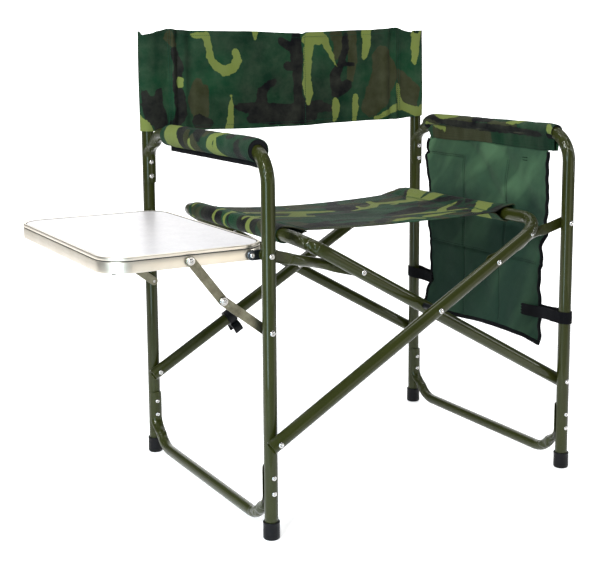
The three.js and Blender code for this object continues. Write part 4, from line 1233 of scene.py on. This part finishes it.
# The print on the arms: distance along the arm, and distance round it from the top.
ARM_PRINT = {
    "light": [
        [(278, 0, 24), (270, -24, 22), (254, -44, 22), (246, -60, 20)],
        [(190, -30, 5), (188, -58, 7)],
        [(80, 4, 7), (96, -8, 9), (110, -20, 10), (114, -32, 10), (102, -50, 9), (96, -60, 8)],
        [(94, -22, 4), (90, -38, 8), (76, -56, 8)],
        [(330, 20, 12), (300, 26, 14)],
    ],
    "black": [
        [(238, -4, 12), (228, -22, 12), (220, -40, 9)],
        [(172, -4, 16), (158, -16, 14)],
        [(60, -8, 8), (48, -10, 7)],
        [(18, -24, 9), (14, -40, 12), (12, -58, 12)],
        [(-8, 0, 9), (4, -6, 8)],
    ],
    "brown": [
        [(212, -24, 16), (200, -44, 18)],
        [(176, -32, 18), (166, -50, 16)],
        [(130, 0, 12), (140, -10, 10)],
    ],
}

FLAP_PRINT = {
    "light": [
        [(330, -4, 8), (300, -9, 14), (266, -5, 9)],
        [(102, -15, 5), (88, -12, 8), (66, -3, 6)],
        [(-14, -26, 9), (-6, -12, 5)],
        [(352, -34, 5), (330, -46, 6), (300, -50, 4)],
    ],
    "black": [
        [(286, -30, 9), (230, -34, 12), (180, -36, 13), (90, -36, 12), (20, -40, 10)],
        [(200, -13, 9), (156, -10, 8)],
        [(350, -14, 8), (300, -26, 9)],
    ],
    "brown": [
        [(290, -16, 13), (205, -15, 13)],
        [(330, -56, 14), (276, -56, 16), (170, -56, 14)],
        [(150, -22, 9), (84, -24, 9)],
        [(350, -30, 14), (320, -36, 12)],
    ],
}
LEFT_PAD, RIGHT_PAD = (-21.0, 312.0), (-18.0, 365.0)
left_section = lambda a, share: LEFT_COVER_R
arm_pad("left", 0.0, *LEFT_PAD, left_section, 1, (9.0, 17.2), CAMO_ARM, ARM_PRINT)
closure = left_closure(*LEFT_PAD)
arm_pad("right", WIDTH, *RIGHT_PAD, right_section, 5, (9.5, 13.0), CAMO_FLAP, FLAP_PRINT)


# ---------- organizer ----------
# Its rear and front edges by height, and its lower edge by y.
POUCH_REAR = table_of(
    [(218, 420), (236, 412), (293, 396), (380, 400), (469, 399), (521, 414), (535, 421), (548, 412)]
    + [(590, 401)]
)
POUCH_FRONT = table_of(
    [(218, 66), (250, 64), (314, 69), (352, 67), (393, 63), (440, 52), (520, 50), (590, 52)]
)
POUCH_LOW = table_of([(40, 214), (110, 224), (200, 226), (300, 221), (380, 214), (430, 206)])
POUCH_TOP, SHEET_X = 588, WIDTH - 1.2


def seams_dent(y, z):
    """How far the seams pull the sheet away from the seat's side, towards the pockets."""
    dent = 0.0
    for seam_y, low, high in ((291, 364, 541), (169, 364, 548), (289, 232, 360), (183, 234, 360)):
        if low - 4 < z < high + 4:
            dent += 2.2 * hump(y, seam_y, 3.4)
    if y > 290:
        dent += 2.4 * hump(z, 541, 3.2) - 1.6 * hump(z, 549, 5.0)
    return dent + 2.4 * hump(z, 362, 3.4)


def pouch_wave(y, z):
    wave = 4.5 * wobble(y / 70, z / 90, 0.7) + 2.4 * wobble(y / 34, z / 46, 3.1)
    first = 4.5 * hump(y - 215, (z - 500) * 0.9, 24)
    second = 3.0 * hump(y - 110, (z - 480) * 0.8, 30)
    return wave + 2.2 * (first + second) * smooth(400, 460, z) + seams_dent(y, z)


def pouch_point(u, v, out=0.0):
    """u runs from the front edge to the rear edge, v from the bottom to the top."""
    low = POUCH_LOW(60 + 340 * u)
    z = low + (POUCH_TOP - low) * v
    y = POUCH_FRONT(z) + (POUCH_REAR(z) - POUCH_FRONT(z)) * u
    curl = (hump(u, 0, 0.035) + hump(u, 1, 0.035)) * 5.0 * wobble(u * 3, z / 24, 8.0)
    return Vector((SHEET_X + out + (pouch_wave(y, z) + curl) * smooth(1.0, 0.9, v), y, z))


def pouch_at(y, z, out=0.0):
    """The sheet's point nearest to a y and z."""
    u = (y - POUCH_FRONT(z)) / (POUCH_REAR(z) - POUCH_FRONT(z))
    low = POUCH_LOW(60 + 340 * u)
    return pouch_point(u, (z - low) / (POUCH_TOP - low), out)


def pouch_piece(build, name, node):
    return piece(build, name, "right_frame", node, GREEN, GREEN_THREAD, BINDING)


def flat_of(grid):
    return [[(p.y / 1000, p.z / 1000) for p in row] for row in grid]


def organizer(n=130):
    grid = [[pouch_point(j / n, i / n) for j in range(n + 1)] for i in range(n + 1)]
    build = Build().sheet(grid, flat_of(grid), 1.2)
    edge = [row[0] for row in grid[: n - 5]][::-1] + grid[0][1:]
    build.cord(edge + [row[-1] for row in grid[1 : n - 5]], 4.4, 0.45)
    seams = (  # from (y, z), to (y, z), and how far aside the second row of stitches lies
        ((400, 541), (293, 541), (0, 4.0)),
        ((397, 362), (76, 362), (0, 4.0)),
        ((290, 541), (290, 450), (4.0, 0)),
        ((290, 450), (290, 364), (4.0, 0)),
        ((167, 548), (167, 364), (4.0, 0)),
        ((289, 360), (289, 232), None),
        ((183, 360), (183, 234), None),
    )
    for (y0, z0), (y1, z1), aside in seams:
        for dy, dz in ((0, 0), aside) if aside else ((0, 0),):
            shares = [k / 30 for k in range(31)]
            spots = [(y0 + (y1 - y0) * t + dy, z0 + (z1 - z0) * t + dz) for t in shares]
            build.stitches([pouch_at(y, z, -1.0) for y, z in spots], -X)
    for z in (556, 551):
        build.stitches([pouch_at(121, z, -1.0), pouch_at(106, z, -1.0)], -X, 1, 1.0, 2.6, 0.6)
    return pouch_piece(build, "organizer_sheet", "organizer")


def pocket_row(name, low, top, columns, depth, cols=96, rows=30):
    """Pocket fronts on the outer face: each bulges between its seams and is open at the top."""
    first, last = columns[0], columns[-1]
    grid = []
    for v in (i / rows for i in range(rows + 1)):
        lift = smooth(0, 0.35, v) * (0.75 + 0.25 * v)
        row = []
        for j in range(cols + 1):
            y = first + (last - first) * j / cols
            cell = next(k for k in range(len(columns) - 1) if y <= columns[k + 1] + 1e-6)
            w = (y - columns[cell]) / (columns[cell + 1] - columns[cell])
            swell = sin(pi * w) ** 0.6 if 0 < w < 1 else 0.0
            z = low + (top - low) * v - 3.0 * swell * smooth(0.7, 1, v)
            out = 1.6 + depth * swell * lift + 0.8 * wobble(y / 18, z / 22, 6.6) * swell
            row.append(pouch_at(y, z, out))
        grid.append(row)
    build = Build().sheet(grid, flat_of(grid), 1.2)
    build.cord([p + X * 0.2 for p in grid[-1]], 2.2, 0.8)
    for y in columns:
        j = round((y - first) / (last - first) * cols)
        build.stitches([row[j] + X * 1.1 for row in grid], X)
    build.stitches([p + Vector((1.1, 0, 2)) for p in grid[0]], X)
    return pouch_piece(build, name, None)


sheet = organizer()
pockets = [
    pocket_row("upper_pockets", 370, 538, [66, 167, 290, 392], 6.0),
    pocket_row("lower_pockets", 228, 360, [74, 183, 289, 390], 14.0),
]


def strap_loop(end, leg_y, reach_y, z_leg, z_end, tail_to):
    """Webbing from the organizer, once round a leg, with its frayed end on the inner side."""
    way = copysign(1, reach_y - leg_y)
    r, half = TUBE_R + 1.2, 10.5
    near = leg_y + way * 3
    path = []
    for t in (k / 12 for k in range(13)):
        x = WIDTH - 3.2 + (-r + 3.2) * smooth(0.35, 1, t)
        path.append((x, tail_to + (near - tail_to) * t))
    for a in (pi - pi * k / 30 for k in range(1, 30)):
        path.append((WIDTH + r * cos(a), leg_y - way * r * sin(a)))
    for t in (k / 8 for k in range(9)):
        x = WIDTH + r + (2.2 - r) * smooth(0.0, 0.75, t)
        path.append((x, near + (reach_y + way * 12 - near) * t))
    run = running(path)
    heights = [half * (q / 4 - 1) for q in range(9)]
    grid = []
    for (x, y), s in zip(path, run):
        z = z_end + (z_leg - z_end) * smooth(0.0, 0.45, s / run[-1]) + 0.8 * wobble(s / 14, 0, 1)
        lean = [0.25 * wobble(s / 9, q, 2) for q in range(9)]
        grid.append([Vector((x + dx, y, z + h)) for dx, h in zip(lean, heights)])
    for q in range(9):
        grid[0][q] += Y * (way * (2.4 if q % 2 else -1.4))
    strap = Build().sheet(grid, [[(s / 1000, h / 1000) for h in heights] for s in run], 1.7)
    made = piece(strap, end + "_webbing", "right_frame", f"organizer_{end}_strap", WEBBING)
    return made, run[-1] / 1000


front_strap, front_run = strap_loop("front", 0.0, 66.0, 279, 273, 112.0)
rear_strap, rear_run = strap_loop("rear", DEPTH, 396.0, 286, 282, 392.0)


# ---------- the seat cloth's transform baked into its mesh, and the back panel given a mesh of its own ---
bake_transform(seat)
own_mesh(panel)


# ---------- studio ----------
LOOK = 0.52362  # the camera's turn from the rear direction


def paper(name, under, over, scale):
    """A matt grey or white shader with a faint cloud."""
    s = Shader(name)
    cloud = s.noise(s.coordinates(), scale, 2)
    s.set(Base_Color=s.mix(cloud, grey(under), grey(over)), Roughness=0.9, Specular_IOR_Level=0.05)
    return s


def backdrop(name, points, faces, material):
    build = Build().add([metres_back(p) for p in points], faces)
    build.object(name, material, sharp=80)


def sweep():
    """A sheet of pale paper, lit a little from behind, that runs under the chair and up a wall."""
    across, away = Vector((cos(LOOK), -sin(LOOK), 0)), Vector((sin(LOOK), cos(LOOK), 0))
    profile = [(-0.62, 0), (2.4, 0), (2.8, 0.03), (3.2, 0.16), (3.6, 0.48), (3.8, 1.0), (3.85, 3.6)]
    spots = [(x, v, z - 0.0003) for v, z in profile for x in (-1.7, 0, 1.7)]
    points = [across * x + away * v + Z * z for x, v, z in spots]
    starts = [i * 3 + j for i in range(len(profile) - 1) for j in range(2)]
    s = paper("pale_paper", 0.9, 0.93, 3)
    s.set(Emission_Color=grey(1.0), Emission_Strength=0.5)
    backdrop("paper", points, [(a, a + 1, a + 4, a + 3) for a in starts], s.material)


def softbox(name, where, target, size, power, colour=(1, 1, 1)):
    light = bpy.data.lights.new(name, "AREA")
    light.shape = "RECTANGLE"
    light.size, light.size_y = size
    light.energy, light.color = power, colour
    made = bpy.data.objects.new(name, light)
    made.location = where
    made.rotation_euler = (Vector(target) - Vector(where)).to_track_quat("-Z", "Y").to_euler()
    bpy.context.collection.objects.link(made)


def studio():
    sweep()
    ground = [(x, y, -0.004) for x, y in ((-9, -9), (9, -9), (9, 9), (-9, 9))]
    backdrop("ground", ground, [(0, 1, 2, 3)], paper("studio_ground", 0.5, 0.54, 4).material)
    world = bpy.data.worlds.new("studio")
    world.use_nodes = True
    light = world.node_tree.nodes["Background"].inputs
    light[0].default_value, light[1].default_value = (0.92, 0.95, 1.0, 1.0), 0.22
    bpy.context.scene.world = world
    hinge_side = (-0.183, -0.2376, 0.47)
    softbox("key", (-2.4, -1.9, 2.4), (0.1, 0.1, 0.5), (0.6, 0.6), 140)
    softbox("top", (0.3, 0.3, 3.4), (0.1, 0.1, 0.0), (2.6, 0.4), 34)
    softbox("strip", (-0.87, -0.67, 0.47), hinge_side, (0.28, 0.92), 8.0, (0.6, 0.85, 1.0))
    softbox("card", (0.6, -1.6, 0.4), (-0.1, -0.24, 0.35), (1.0, 0.7), 3.8, (1.0, 0.95, 0.86))
    softbox("rear_card", (-1.3, 1.4, 0.25), (-0.43, 0.0, 0.45), (1.3, 0.8), 2.6)
    softbox("side", (2.6, -1.5, 1.2), (0.1, 0, 0.4), (0.16, 1.9), 20, (0.95, 0.97, 1.0))
    softbox("backdrop", (1.2, 2.1, 3.6), (1.95, 3.3, 1.2), (3.4, 0.8), 90)


def camera():
    data = bpy.data.cameras.new("camera")
    data.sensor_width, data.lens, data.shift_y = 36.0, 69.69, -0.12
    made = bpy.data.objects.new("camera", data)
    pitch, roll = 0.14685, -0.006819
    turn = Matrix.Rotation(-LOOK, 4, "Z") @ Matrix.Rotation(pi / 2 - pitch, 4, "X")
    place = Matrix.Translation(metres((-821.6, -1518.8, 771.6)))
    made.matrix_world = place @ turn @ Matrix.Rotation(roll, 4, "Z")
    bpy.context.collection.objects.link(made)
    bpy.context.scene.camera = made


studio()
camera()
bpy.context.scene.view_settings.view_transform = "Standard"

bpy.context.view_layer.update()
